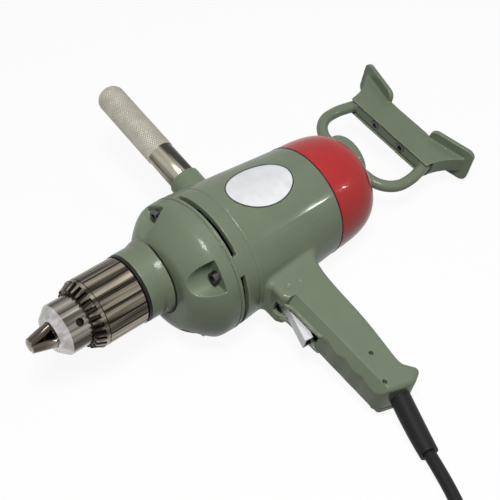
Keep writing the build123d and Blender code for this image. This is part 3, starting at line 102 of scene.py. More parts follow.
class Sheet:
    """Thin helper that lays out the nodes of one node tree."""

    SETS_SOCKET = "in_"
    # numbers of the colour sockets on Blender's Mix node
    MIX_SHARE = 0
    MIX_LOW = 6
    MIX_HIGH = 7
    MIX_RESULT = 2

    def __init__(self, tree: bpy.types.NodeTree) -> None:
        """Take the node tree to draw on."""
        self.tree = tree

    def node(self, kind: str, **values: object) -> bpy.types.Node:
        """Add a node.

        Args:
            kind: Blender's type name without the ShaderNode prefix.
            values: attributes of the node, or values of its sockets where the name
                starts with in_, as in in_Scale.

        Returns:
            The new node.
        """
        made = self.tree.nodes.new("ShaderNode" + kind)
        for name, value in values.items():
            if name.startswith(self.SETS_SOCKET):
                label = name.removeprefix(self.SETS_SOCKET).replace("_", " ")
                made.inputs[label].default_value = value
            else:
                setattr(made, name, value)
        return made

    def link(self, source: bpy.types.NodeSocket, target: bpy.types.NodeSocket) -> None:
        """Join two sockets."""
        self.tree.links.new(source, target)

    def feed(self, target: bpy.types.NodeSocket, value: Feed) -> None:
        """Give a socket what it reads.

        Args:
            target: the socket.
            value: another socket, a colour or a number.
        """
        if isinstance(value, bpy.types.NodeSocket):
            self.link(value, target)
        elif isinstance(value, tuple):
            target.default_value = (*value, 1.0)
        else:
            target.default_value = value

    def mix(self, low: Feed, high: Feed, share: Feed) -> bpy.types.NodeSocket:
        """Blend two colours.

        Args:
            low: colour or socket at share 0.
            high: colour or socket at share 1.
            share: number or socket.

        Returns:
            The blended colour's socket.
        """
        made = self.node("Mix", data_type="RGBA")
        self.feed(made.inputs[self.MIX_SHARE], share)
        self.feed(made.inputs[self.MIX_LOW], low)
        self.feed(made.inputs[self.MIX_HIGH], high)
        return made.outputs[self.MIX_RESULT]

    def maths(self, kind: str, *terms: Feed) -> bpy.types.NodeSocket:
        """One sum on numbers.

        Args:
            kind: Blender's operation name.
            terms: numbers or sockets.

        Returns:
            The result's socket.
        """
        made = self.node("Math", operation=kind)
        for target, value in zip(made.inputs, terms):
            self.feed(target, value)
        return made.outputs["Value"]

    def spread(self, value: bpy.types.NodeSocket, low: float, high: float,
               to_low: float = 0.0, to_high: float = 1.0) -> bpy.types.NodeSocket:
        """Map a range of values onto another, clamped.

        Args:
            value: the socket to map.
            low: value that gives to_low.
            high: value that gives to_high.
            to_low: result at low.
            to_high: result at high.

        Returns:
            The mapped value's socket.
        """
        made = self.node("MapRange", in_From_Min=low, in_From_Max=high,
                         in_To_Min=to_low, in_To_Max=to_high)
        self.link(value, made.inputs["Value"])
        return made.outputs["Result"]

    def noise(self, place: bpy.types.NodeSocket, scale: Feed, detail: float,
              rough: float = 0.5) -> bpy.types.NodeSocket:
        """Noise over a place.

        Args:
            place: the vector that it reads.
            scale: how many waves there are in one unit of it, a number or a socket.
            detail: how many finer layers are added.
            rough: how strong they are.

        Returns:
            The noise's socket, with values about one half.
        """
        made = self.node("TexNoise", in_Detail=detail, in_Roughness=rough)
        self.link(place, made.inputs["Vector"])
        self.feed(made.inputs["Scale"], scale)
        return made.outputs["Fac"]

    def stretch(self, place: bpy.types.NodeSocket, *factors: Feed) -> bpy.types.NodeSocket:
        """Scale a place along each axis.

        Args:
            place: the vector.
            factors: number or socket for X, Y and Z.

        Returns:
            The scaled vector's socket.
        """
        parts = self.node("SeparateXYZ")
        self.link(place, parts.inputs["Vector"])
        made = self.node("CombineXYZ")
        for axis, factor in zip("XYZ", factors):
            self.link(self.maths("MULTIPLY", parts.outputs[axis], factor), made.inputs[axis])
        return made.outputs["Vector"]


class SharedEffects:
    """Node groups that several finishes use."""

    def __init__(self) -> None:
        """Build each group once."""
        self.axes = self._axes()
        self.mottle = self._mottle()
        self.wear_and_painted_light = self._wear_and_painted_light()
        self.turning = self._turning()
        self.streaks = self._streaks_and_reflections()

    @staticmethod
    def _axes() -> bpy.types.NodeTree:
        """Place on the surface along the drill's own axes, in metres.

        Returns:
            The group, with one vector output.
        """
        tree = bpy.data.node_groups.new("drill axes", "ShaderNodeTree")
        tree.interface.new_socket("Place", in_out="OUTPUT", socket_type="NodeSocketVector")
        sheet = Sheet(tree)
        out = tree.nodes.new("NodeGroupOutput")
        inverse = DRILL.inverted()
        spot = sheet.node("Mapping", in_Location=inverse.to_translation(),
                          in_Rotation=inverse.to_euler("XYZ"))
        sheet.link(sheet.node("TexCoord").outputs["Object"], spot.inputs["Vector"])
        sheet.link(spot.outputs["Vector"], out.inputs["Place"])
        return tree

    @staticmethod
    def _group(name: str, settings: dict[str, float], outputs: tuple[str, ...]
               ) -> tuple[Sheet, bpy.types.Node, bpy.types.Node]:
        """Start a group that reads a place.

        Args:
            name: its name.
            settings: its other inputs with their usual values.
            outputs: names of its outputs.

        Returns:
            The sheet to draw on, the node of the inputs and the node of the outputs.
        """
        tree = bpy.data.node_groups.new(name, "ShaderNodeTree")
        tree.interface.new_socket("Place", in_out="INPUT", socket_type="NodeSocketVector")
        for label, value in settings.items():
            made = tree.interface.new_socket(label, in_out="INPUT", socket_type="NodeSocketFloat")
            made.default_value = value
        for label in outputs:
            tree.interface.new_socket(label, in_out="OUTPUT", socket_type="NodeSocketFloat")
        return Sheet(tree), tree.nodes.new("NodeGroupInput"), tree.nodes.new("NodeGroupOutput")

    def _mottle(self) -> bpy.types.NodeTree:
        """Soft clouds and a fine skin, as sprayed enamel on a casting shows.

        Returns:
            The group, with clouds and skin outputs between 0 and 1.
        """
        settings = {"Cloud Scale": 40.0, "Skin Scale": 900.0}
        sheet, given, out = self._group("enamel mottle", settings, ("Clouds", "Skin"))
        place = given.outputs["Place"]
        clouds = sheet.noise(place, given.outputs["Cloud Scale"], detail=4.0, rough=0.6)
        skin = sheet.noise(place, given.outputs["Skin Scale"], detail=2.0, rough=0.45)
        sheet.link(sheet.spread(clouds, low=0.3, high=0.7), out.inputs["Clouds"])
        sheet.link(skin, out.inputs["Skin"])
        return sheet.tree

    def _wear_and_painted_light(self) -> bpy.types.NodeTree:
        """Rubbed outer edges that also paint a highlight, and grime that also paints shade in inner
        corners.

        Returns:
            The group, with outputs for rubbed edges with a painted highlight and for grime with painted
            shade, between 0 and 1.
        """
        settings = {"Edge": 0.5, "Amount": 0.5}
        sheet, given, out = self._group("edge wear and painted light", settings, ("Rubbed And Highlight", "Grime And Shade"))
        edge = given.outputs["Edge"]
        amount = given.outputs["Amount"]
        patches = sheet.noise(given.outputs["Place"], scale=160.0, detail=5.0, rough=0.65)
        torn = sheet.spread(patches, low=0.42, high=0.62)
        # outer edges: rubbed wear, and also a painted highlight along the edge
        rim = sheet.spread(edge, low=0.51, high=0.56)
        rubbed_and_highlit = sheet.maths("MULTIPLY", sheet.maths("MULTIPLY", rim, torn), amount)
        # inner corners: grime, and also painted shade
        hollow_and_shaded = sheet.spread(edge, low=0.49, high=0.43)
        sheet.link(rubbed_and_highlit, out.inputs["Rubbed And Highlight"])
        sheet.link(sheet.maths("MULTIPLY", hollow_and_shaded, amount), out.inputs["Grime And Shade"])
        return sheet.tree

    def _turning(self) -> bpy.types.NodeTree:
        """Fine rings that a lathe leaves round the drill's axis.

        Returns:
            The group, with lines and blotches outputs between 0 and 1.
        """
        sheet, given, out = self._group("lathe rings", {"Rings": 500.0}, ("Lines", "Blotches"))
        place = given.outputs["Place"]
        across = 40.0
        spot = sheet.stretch(place, given.outputs["Rings"], across, across)
        lines = sheet.noise(spot, scale=1.0, detail=3.0)
        blotches = sheet.noise(place, scale=90.0, detail=4.0)
        sheet.link(sheet.spread(lines, low=0.3, high=0.7), out.inputs["Lines"])
        sheet.link(sheet.spread(blotches, low=0.35, high=0.65), out.inputs["Blotches"])
        return sheet.tree

    def _streaks_and_reflections(self) -> bpy.types.NodeTree:
        """Streaks along a drawn or polished bar, partly polish marks and partly painted reflections of
        light and dark surroundings.

        Returns:
            The group, with broad and fine outputs between 0 and 1.
        """
        settings = {"Along X": 1.0, "Along Y": 1.0}
        sheet, given, out = self._group("drawn streaks and painted reflections", settings, ("Broad", "Fine"))
        spot = sheet.stretch(given.outputs["Place"], *(given.outputs[name] for name in settings), 1.0)
        broad = sheet.noise(spot, scale=105.0, detail=3.0)
        fine = sheet.noise(spot, scale=420.0, detail=3.0)
        sheet.link(sheet.spread(broad, low=0.42, high=0.58), out.inputs["Broad"])
        sheet.link(sheet.spread(fine, low=0.3, high=0.7), out.inputs["Fine"])
        return sheet.tree


EFFECTS = SharedEffects()


class Finish:
    """A finish that makes its material once.

    Its swing is how far the roughness goes below and above its usual value.
    """

    name: str
    rough: float
    swing: tuple[float, float]

    def material(self) -> bpy.types.Material:
        """The finish as a material, made on first use.

        Returns:
            The material.
        """
        found = bpy.data.materials.get(self.name)
        if found is None:
            found = bpy.data.materials.new(self.name)
            found.use_nodes = True
            self.draw(Sheet(found.node_tree), found.node_tree.nodes["Principled BSDF"])
        return found

    def draw(self, sheet: Sheet, surface: bpy.types.Node) -> None:
        """Lay out the nodes that lead to the surface."""
        raise NotImplementedError

    @staticmethod
    def effect(sheet: Sheet, group: bpy.types.NodeTree, **values: float) -> bpy.types.Node:
        """Place a shared effect on the sheet, fed with the drill's axes.

        Args:
            sheet: the material's sheet.
            group: the effect.
            values: its own settings by name.

        Returns:
            The group's node.
        """
        made = sheet.node("Group", node_tree=group)
        place = sheet.node("Group", node_tree=EFFECTS.axes)
        sheet.link(place.outputs["Place"], made.inputs["Place"])
        for label, value in values.items():
            made.inputs[label.replace("_", " ")].default_value = value
        return made

    def roughen(self, sheet: Sheet, surface: bpy.types.Node, mask: bpy.types.NodeSocket) -> None:
        """Let a mask swing the roughness.

        Args:
            sheet: the material's sheet.
            surface: the shader.
            mask: between 0, smoothest, and 1, roughest.
        """
        low, high = (self.rough + step for step in self.swing)
        rough = sheet.spread(mask, low=0.0, high=1.0, to_low=low, to_high=high)
        sheet.link(rough, surface.inputs["Roughness"])

    @staticmethod
    def bump(sheet: Sheet, surface: bpy.types.Node, height: bpy.types.NodeSocket,
             depth: float, strength: float) -> None:
        """Give the surface a relief.

        Args:
            sheet: the material's sheet.
            surface: the shader.
            height: relief between 0 and 1.
            depth: how deep it is, in metres.
            strength: share of it that shows.
        """
        made = sheet.node("Bump", in_Distance=depth, in_Strength=strength)
        sheet.link(height, made.inputs["Height"])
        sheet.link(made.outputs["Normal"], surface.inputs["Normal"])


@dataclass(frozen=True)
class Enamel(Finish):
    """Sprayed enamel on a casting.

    Grime, which also paints shade into inner corners, has a share of the shade's brightness, and rubbed
    edges, which also paint a highlight on outer edges, are brighter than the colour by a gain and a lift.
    The skin is the share of its relief that shows.
    """

    name: str
    colour: Colour
    shade: Colour
    rough: float
    coat: float
    wear_and_painted_light: float
    gloss: float
    skin: float = 0.12
    swing: tuple[float, float] = (-0.05, 0.06)
    coat_rough: float = 0.09
    depth: float = 0.4 * MM
    # grime also paints shade into corners; the rub gain and lift also paint a highlight on edges
    grime_and_shade: float = 0.35
    rub_and_highlight_gain: float = 1.6
    rub_and_highlight_lift: float = 0.05

    def draw(self, sheet: Sheet, surface: bpy.types.Node) -> None:
        """Clouded colour, a fine skin, rubbed edges with a painted highlight and grime with painted shade
        in the corners.

        Args:
            sheet: the material's sheet.
            surface: the shader.
        """
        mottle = self.effect(sheet, EFFECTS.mottle)
        wear_and_painted_light = self.effect(sheet, EFFECTS.wear_and_painted_light, Amount=self.wear_and_painted_light)
        sheet.link(sheet.node("NewGeometry").outputs["Pointiness"], wear_and_painted_light.inputs["Edge"])
        # grime colour that also paints shade in the corners, and rubbed colour that also paints a
        # highlight on the edges
        grime_shade_colour = tuple(self.grime_and_shade * c for c in self.shade)
        rub_highlight_colour = tuple(min(1.0, self.rub_and_highlight_gain * c + self.rub_and_highlight_lift) for c in self.colour)
        paint = sheet.mix(self.colour, self.shade, mottle.outputs["Clouds"])
        grimy_and_shaded = sheet.mix(paint, grime_shade_colour, wear_and_painted_light.outputs["Grime And Shade"])
        rubbed_and_highlit = sheet.mix(grimy_and_shaded, rub_highlight_colour, wear_and_painted_light.outputs["Rubbed And Highlight"])
        sheet.link(rubbed_and_highlit, surface.inputs["Base Color"])
        self.roughen(sheet, surface, mottle.outputs["Clouds"])
        surface.inputs["Coat Weight"].default_value = self.coat
        surface.inputs["Coat Roughness"].default_value = self.coat_rough
        surface.inputs["Specular IOR Level"].default_value = self.gloss
        self.bump(sheet, surface, mottle.outputs["Skin"], self.depth, self.skin)


@dataclass(frozen=True)
class TurnedMetal(Finish):
    """Metal turned on a lathe, with fine rings and stained patches."""

    name: str
    colour: Colour
    stain_and_dark_reflection: Colour
    rough: float
    rings: float = 500.0
    relief: float = 0.05
    metallic: float = 1.0
    swing: tuple[float, float] = (-0.06, 0.08)
    depth: float = 0.2 * MM

    def draw(self, sheet: Sheet, surface: bpy.types.Node) -> None:
        """Stained metal with rings in its gloss and its relief.

        Args:
            sheet: the material's sheet.
            surface: the shader.
        """
        turning = self.effect(sheet, EFFECTS.turning, Rings=self.rings)
        tint = sheet.mix(self.colour, self.stain_and_dark_reflection, turning.outputs["Blotches"])
        sheet.link(tint, surface.inputs["Base Color"])
        self.roughen(sheet, surface, turning.outputs["Lines"])
        surface.inputs["Metallic"].default_value = self.metallic
        self.bump(sheet, surface, turning.outputs["Lines"], self.depth, self.relief)


@dataclass(frozen=True)
class DrawnMetal(Finish):
    """Polished metal with streaks along its length, partly polish marks and partly painted reflections.

    The fine streaks show a share of the dark tone.
    """

    name: str
    colour: Colour
    stain_and_dark_reflection: Colour
    rough: float
    along_x: float = 0.04
    along_y: float = 1.0
    fine: float = 0.45
    relief: float = 0.06
    swing: tuple[float, float] = (-0.05, 0.07)
    depth: float = 0.2 * MM

    def draw(self, sheet: Sheet, surface: bpy.types.Node) -> None:
        """Light and dark streaks, partly painted reflections, finer ones in the gloss.

        Args:
            sheet: the material's sheet.
            surface: the shader.
        """
        streaks = self.effect(sheet, EFFECTS.streaks, Along_X=self.along_x, Along_Y=self.along_y)
        # light and dark streaks in the colour: polish marks and painted reflections
        broad = sheet.mix(self.colour, self.stain_and_dark_reflection, streaks.outputs["Broad"])
        share = sheet.maths("MULTIPLY", streaks.outputs["Fine"], self.fine)
        sheet.link(sheet.mix(broad, self.stain_and_dark_reflection, share), surface.inputs["Base Color"])
        self.roughen(sheet, surface, streaks.outputs["Fine"])
        surface.inputs["Metallic"].default_value = 1.0
        self.bump(sheet, surface, streaks.outputs["Fine"], self.depth, self.relief)


@dataclass(frozen=True)
class Moulding(Finish):
    """Rubber, plastic or pressed insulation with a fine grain."""

    name: str
    colour: Colour
    shade: Colour
    rough: float
    gloss: float = 0.3
    grain: float = 0.15
    swing: tuple[float, float] = (-0.06, 0.06)
    depth: float = 0.3 * MM
    cloud_scale: float = 70.0
    skin_scale: float = 1800.0

    def draw(self, sheet: Sheet, surface: bpy.types.Node) -> None:
        """Slightly clouded colour with a fine grain.

        Args:
            sheet: the material's sheet.
            surface: the shader.
        """
        mottle = self.effect(sheet, EFFECTS.mottle, Cloud_Scale=self.cloud_scale,
                             Skin_Scale=self.skin_scale)
        tint = sheet.mix(self.colour, self.shade, mottle.outputs["Clouds"])
        sheet.link(tint, surface.inputs["Base Color"])
        self.roughen(sheet, surface, mottle.outputs["Clouds"])
        surface.inputs["Specular IOR Level"].default_value = self.gloss
        self.bump(sheet, surface, mottle.outputs["Skin"], self.depth, self.grain)


# the wear amount also sets how much highlight is painted on edges and how much shade in corners
GREEN = Enamel("sage_enamel", (0.176, 0.219, 0.145), (0.160, 0.200, 0.131), rough=0.38, coat=0.20,
               wear_and_painted_light=0.6, gloss=0.16)
RED = Enamel("red_enamel", (0.50, 0.032, 0.031), (0.46, 0.028, 0.028), rough=0.24, coat=0.22,
             wear_and_painted_light=0.15, gloss=0.08, skin=0.04)
# the drawn steels and the zinc plating carry light and dark streaks that are partly painted reflections
CHUCK = DrawnMetal("chuck_steel", (0.35, 0.305, 0.24), (0.030, 0.024, 0.020), rough=0.20)
# near-black steel for the flutes, the gaps between teeth and the key holes: painted shade
SHADE_STEEL = TurnedMetal("painted_shade_steel", (0.030, 0.026, 0.022), (0.020, 0.017, 0.014), rough=0.40)
BAND = DrawnMetal("nose_steel", (0.40, 0.37, 0.325), (0.055, 0.048, 0.041), rough=0.20)
# lighter copy of the nose steel for the cone and front face: painted highlight
HIGHLIGHT_STEEL = DrawnMetal("painted_highlight_steel", (0.60, 0.59, 0.585), (0.38, 0.365, 0.345), rough=0.20)
JAW = DrawnMetal("jaw_steel", (0.42, 0.375, 0.31), (0.085, 0.07, 0.056), rough=0.20)
SHAFT = TurnedMetal("ground_steel", (0.58, 0.57, 0.55), (0.46, 0.45, 0.43), rough=0.24)
NICKEL = TurnedMetal("bright_nickel", (0.86, 0.85, 0.83), (0.76, 0.75, 0.73), rough=0.20, relief=0.02)
ZINC = DrawnMetal("zinc_plating", (0.42, 0.395, 0.31), (0.055, 0.053, 0.044), rough=0.17,
                  along_x=1.0, along_y=0.04)
KNURL = TurnedMetal("knurled_zinc", (0.44, 0.42, 0.355), (0.37, 0.353, 0.297), rough=0.36,
                    rings=120.0, relief=0.02)
TRIGGER = TurnedMetal("satin_nickel", (0.78, 0.78, 0.79), (0.71, 0.71, 0.72), rough=0.34,
                      relief=0.02, metallic=0.2)
PIN = TurnedMetal("pin_steel", (0.22, 0.24, 0.21), (0.16, 0.18, 0.155), rough=0.36, metallic=0.2)
# blackened screws and clamp; also near-black painted shade inside the trigger's channel
BLACK_STEEL_AND_SHADE = TurnedMetal("blackened_steel_and_painted_shade", (0.10, 0.10, 0.10), (0.06, 0.06, 0.06), rough=0.38)
PLATE = TurnedMetal("bare_plate", (0.72, 0.73, 0.745), (0.66, 0.67, 0.685), rough=0.40, relief=0.02)
COPPER = TurnedMetal("copper_wire", (0.30, 0.135, 0.07), (0.20, 0.085, 0.045), rough=0.40, rings=900.0)
BRASS = TurnedMetal("brass_holder", (0.70, 0.54, 0.24), (0.58, 0.42, 0.18), rough=0.30)
LAMINATE = TurnedMetal("stacked_sheet", (0.14, 0.14, 0.15), (0.09, 0.09, 0.10), rough=0.45,
                       rings=2200.0, relief=0.4)
RUBBER = Moulding("black_rubber", (0.011, 0.011, 0.012), (0.017, 0.017, 0.018), rough=0.46, gloss=0.14)
PLASTIC = Moulding("black_plastic", (0.020, 0.020, 0.021), (0.028, 0.028, 0.029), rough=0.34)
RIM_BLACK = Moulding("printed_rim", (0.03, 0.03, 0.03), (0.05, 0.05, 0.05), rough=0.5)
BROWN_BOARD = Moulding("brown_board", (0.10, 0.055, 0.03), (0.13, 0.07, 0.04), rough=0.5)
CARBON = Moulding("pressed_carbon", (0.03, 0.03, 0.032), (0.05, 0.05, 0.052), rough=0.55)


def new_piece(name: str, mesh: bpy.types.Mesh, finish: Finish, slot: Slot, *nodes: str) -> None:
    """Put a mesh in the scene as a piece of the drill.

    Args:
        name: the piece's name.
        mesh: its mesh, in the row frame.
        finish: what it is made of.
        slot: the record's slot of its finish; not used.
        nodes: solids that it stands for.
    """
    piece = bpy.data.objects.new(name, mesh)
    bpy.context.scene.collection.objects.link(piece)
    mesh.materials.clear()
    mesh.materials.append(finish.material())
    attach(piece, HOUSING)
    if nodes:
        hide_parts(*nodes)
    log.info("%s: %d faces", name, len(mesh.polygons))


def dress(node: str, finish: Finish) -> None:
    """Give a solid that stays in view its finish and soft shading.

    Args:
        node: the solid's name.
        finish: what it is made of.
    """
    shown = frame["nodes"][node]
    shown.data.materials.clear()
    shown.data.materials.append(finish.material())
    shown.data.set_sharp_from_angle(angle=math.radians(SHARP_EDGE))
    log.info("%s: %s", node, finish.name)


def dress_faces(node: str, finish: Finish, chosen: Callable[[Vector], bool]) -> None:
    """Give some faces of a solid another finish.

    Args:
        node: the solid's name.
        finish: what these faces are made of.
        chosen: says from a face's middle, in the drill's axes, whether it gets it.
    """
    mesh = frame["nodes"][node].data
    mesh.materials.append(finish.material())
    inverse = DRILL.inverted()
    for face in mesh.polygons:
        if chosen(inverse @ face.center / MM):
            face.material_index = len(mesh.materials) - 1


def smooth_curve(name: str, points: Sequence[Vector], radius: float, sides: int, steps: int,
                 closed: bool = False) -> bpy.types.Curve:
    """Round curve along a smooth line.

    Args:
        name: the curve's name.
        points: control points in the row frame.
        radius: the curve's radius, in metres.
        sides: how finely it is round.
        steps: how finely it is divided between control points.
        closed: whether the line runs back to its start.

    Returns:
        The curve, with one spline.
    """
    data = bpy.data.curves.new(name, "CURVE")
    data.dimensions = "3D"
    data.bevel_depth = radius
    data.bevel_resolution = sides
    data.use_fill_caps = True
    line = data.splines.new("NURBS")
    line.points.add(len(points) - 1)
    for spot, point in zip(line.points, points):
        spot.co = (*point, 1.0)
    line.order_u = SMOOTH_ORDER
    line.use_endpoint_u = not closed
    line.use_cyclic_u = closed
    line.resolution_u = steps
    return data


def tube(name: str, points: Sequence[Point | Vector], radii: Sequence[float],
         closed: bool = False) -> bpy.types.Mesh:
    """Round bead along a smooth line.

    Args:
        name: the mesh's name.
        points: points in the drill's axes, in millimetres.
        radii: the bead's radius at each of them, in millimetres.
        closed: whether the line runs back to its start.

    Returns:
        The bead's mesh, in the row frame.
    """
    placed = [DRILL @ (Vector(point) * MM) for point in points]
    data = smooth_curve(name, placed, MM, BEAD_SIDES, BEAD_STEPS, closed)
    for spot, radius in zip(data.splines[0].points, radii):
        spot.radius = radius
    scratch = bpy.data.objects.new(name, data)
    mesh = bpy.data.meshes.new_from_object(scratch)
    bpy.data.objects.remove(scratch)
    mesh.shade_smooth()
    return mesh


@dataclass(frozen=True)
class CastSkin:
    """How the skin of one casting is made.

    The voxel is the grid on which corners are rounded, and keep the share of faces that stays.
    """

    node: str
    voxel: float
    keep: float
    finish: Finish = GREEN
    slot: Slot = Slot.GREEN


@dataclass
class Castings:
    """Painted castings: softened skins over the solids, with beads at the slot and dark beads at the
    joints that stand for the shadow in their gaps, a painted shadow.

    The lip's line gives the place and the radius of the bead on the near side. The collar's
    joint follows the gear case's dome, which falls back at a slope outside the dome's radius.
    """

    skins: tuple[CastSkin, ...] = (
        CastSkin("motor_housing", 0.5, 0.13), CastSkin("gear_case", 0.42, 0.22),
        CastSkin("grip_cover", 0.5, 0.25), CastSkin("d_handle", 0.65, 0.3),
        CastSkin("breast_plate", 0.65, 0.3), CastSkin("end_cap", 0.8, 0.3, RED, Slot.RED))
    soften: float = 0.5
    rounds: int = 5
    lip_line: tuple[tuple[float, float, float, float], ...] = (
        (-26.5, 73.5, 9.6, 1.2), (-28.6, 77.0, 8.6, 1.7), (-29.7, 81.0, 8.6, 1.8),
        (-29.7, 95.0, 8.6, 1.8), (-29.7, 109.0, 8.6, 1.8), (-30.0, 112.5, 9.6, 1.5),
        (-30.9, 114.0, 11.8, 0.6))
    ring_points: int = 72
    cap_x: float = -113.5
    cap_r: float = 49.05
    cap_bead: float = 0.95
    collar_r: float = 31.4
    collar_bead: float = 0.6
    dome_x: float = 36.9
    dome_r: float = 32.3
    dome_slope: float = 0.42

    def skin(self, cast: CastSkin) -> None:
        """Casting with its corners rounded off, made from the solid that it stands for.

        Args:
            cast: which casting, and how.
        """
        scratch = bpy.data.objects.new("scratch", frame["nodes"][cast.node].data.copy())
        bpy.context.scene.collection.objects.link(scratch)
        grain = scratch.modifiers.new("grain", "REMESH")
        grain.mode = "VOXEL"
        grain.voxel_size = cast.voxel * MM
        grain.use_smooth_shade = True
        soften = scratch.modifiers.new("soften", "SMOOTH")
        soften.factor = self.soften
        soften.iterations = self.rounds
        thin = scratch.modifiers.new("thin", "DECIMATE")
        thin.ratio = cast.keep
        graph = bpy.context.evaluated_depsgraph_get()
        mesh = bpy.data.meshes.new_from_object(scratch.evaluated_get(graph))
        bpy.data.objects.remove(scratch)
        mesh.shade_smooth()
        new_piece(cast.node + "_cast", mesh, cast.finish, cast.slot, cast.node)

    def lips(self) -> None:
        """Raised bead along each side of the trigger's slot."""
        beads = [bead for *_, bead in self.lip_line]
        for side, way in (("near", 1), ("far", -1)):
            line = [(x, y, way * z) for x, y, z, _ in self.lip_line]
            name = "slot_lip_" + side
            new_piece(name, tube(name, line, beads), GREEN, Slot.GREEN)

    def seams(self) -> None:
        """Dark beads behind the red cap and behind the nose collar, a painted shadow of the gaps there.
        """
        cap = []
        collar = []
        for k in range(self.ring_points):
            angle = 2 * math.pi * k / self.ring_points
            sine, cosine = math.sin(angle), math.cos(angle)
            cap.append((self.cap_x, self.cap_r * sine, self.cap_r * cosine))
            y = SPINDLE_Y + self.collar_r * cosine
            z = self.collar_r * sine
            past = max(0.0, math.hypot(y, z) - self.dome_r)
            collar.append((self.dome_x - self.dome_slope * past, y, z))
        # black rubber beads stand for the shadow in the gaps: painted shadow
        joints = (("cap_joint_shadow", cap, self.cap_bead), ("collar_joint_shadow", collar, self.collar_bead))
        for name, line, bead in joints:
            mesh = tube(name, line, [bead] * len(line), closed=True)
            new_piece(name, mesh, RUBBER, Slot.RUBBER)

    def build(self) -> None:
        """Make the skins of the green castings and of the red cap, and the beads."""
        for cast in self.skins:
            self.skin(cast)
        self.lips()
        self.seams()


@dataclass
class SideBar:
    """Plated bar with a real diamond knurl.

    Places along it are counted from the motor's axis outwards. The flank is half a groove's
    width as a share of the pitch, and the crest how far the ridges lie under the radius.
    """

    root_x: float = -43.0
    # lean and sharp are in degrees
    lean: float = 2.7
    sharp: float = 50.0
    stud: float = 8.0
    neck: float = 11.9
    radius: float = 12.5
    low: float = 56.0
    foot: float = 74.1
    step: float = 106.0
    knurl_start: float = 108.0
    knurl_end: float = 182.4
    end: float = 189.8
    bevel: float = 0.4
    shoulder: float = 0.3
    ridges: int = 38
    per_ridge: int = 6
    lead: float = 3.5
    per_lead: int = 8
    depth: float = 0.5
    crest: float = 0.05
    flank: float = 0.38
    end_round: float = 7.0
    end_drop: float = 0.3
    end_steps: int = 6

    def groove(self, phase: float) -> float:
        """How deep the tool has cut, from 0 on a ridge to 1 in a groove."""
        return max(0.0, 1.0 - abs(phase % 1.0 - 0.5) / self.flank)

    def knurl(self, angle: float, along: float) -> float:
        """Radius of the knurled length.

        Args:
            angle: round the bar, in radians.
            along: place along the bar.

        Returns:
            The radius, in millimetres.
        """
        turn = self.ridges * angle / (2 * math.pi)
        cut = max(self.groove(turn + along / self.lead), self.groove(turn - along / self.lead))
        return self.radius - self.crest - self.depth * cut

    def rings(self) -> list[tuple[float, float | None]]:
        """Places along the bar with a plain radius, or None where the knurl runs.

        Returns:
            Pairs of place and radius.
        """
        out: list[tuple[float, float | None]] = [
            (self.low, self.stud), (self.foot, self.stud), (self.foot, self.neck - self.bevel),
            (self.foot + self.bevel, self.neck), (self.step - self.shoulder, self.neck),
            (self.step, self.neck), (self.knurl_start - self.bevel, self.radius - self.bevel),
            (self.knurl_start, None)]
        run = self.knurl_end - self.knurl_start
        count = int(run / self.lead * self.per_lead)
        out += [(self.knurl_start + run * k / count, None) for k in range(1, count + 1)]
        flat = self.radius - self.end_drop - self.end_round
        for k in range(1, self.end_steps + 1):
            angle = math.pi / 2 * k / self.end_steps
            along = self.knurl_end + (self.end - self.knurl_end) * math.sin(angle)
            out.append((along, flat + self.end_round * math.cos(angle)))
        return out

    def lathe(self, place: Matrix) -> bpy.types.Mesh:
        """Bar with its knurl cut.

        Args:
            place: from the bar's own axes, Y outwards, to the row frame.

        Returns:
            The closed mesh, in the row frame.
        """
        around = self.ridges * self.per_ridge
        build = bmesh.new()
        loops = []
        for along, plain in self.rings():
            loop = []
            for k in range(around):
                angle = 2 * math.pi * k / around
                radius = self.knurl(angle, along) if plain is None else plain
                spot = Vector((radius * math.sin(angle), along, radius * math.cos(angle))) * MM
                loop.append(build.verts.new(place @ spot))
            loops.append(loop)
        for one, two in zip(loops, loops[1:]):
            for k in range(around):
                n = (k + 1) % around
                build.faces.new((one[k], one[n], two[n], two[k]))
        build.faces.new(reversed(loops[0]))
        build.faces.new(loops[-1])
        bmesh.ops.recalc_face_normals(build, faces=build.faces)
        mesh = bpy.data.meshes.new("side_bar")
        build.to_mesh(mesh)
        build.free()
        mesh.shade_smooth()
        mesh.set_sharp_from_angle(angle=math.radians(self.sharp))
        return mesh

    def build(self) -> None:
        """Lathe the bar and plate it, duller on the knurl."""
        outwards = Matrix.Rotation(math.radians(180 - self.lean), 4, "Z")
        place = DRILL @ Matrix.Translation((self.root_x * MM, 0, 0)) @ outwards
        mesh = self.lathe(place)
        new_piece("side_bar", mesh, ZINC, Slot.ZINC, "side_handle")
        mesh.materials.append(KNURL.material())
        inverse = place.inverted()
        for face in mesh.polygons:
            face.material_index = int((inverse @ face.center).y > self.knurl_start * MM)


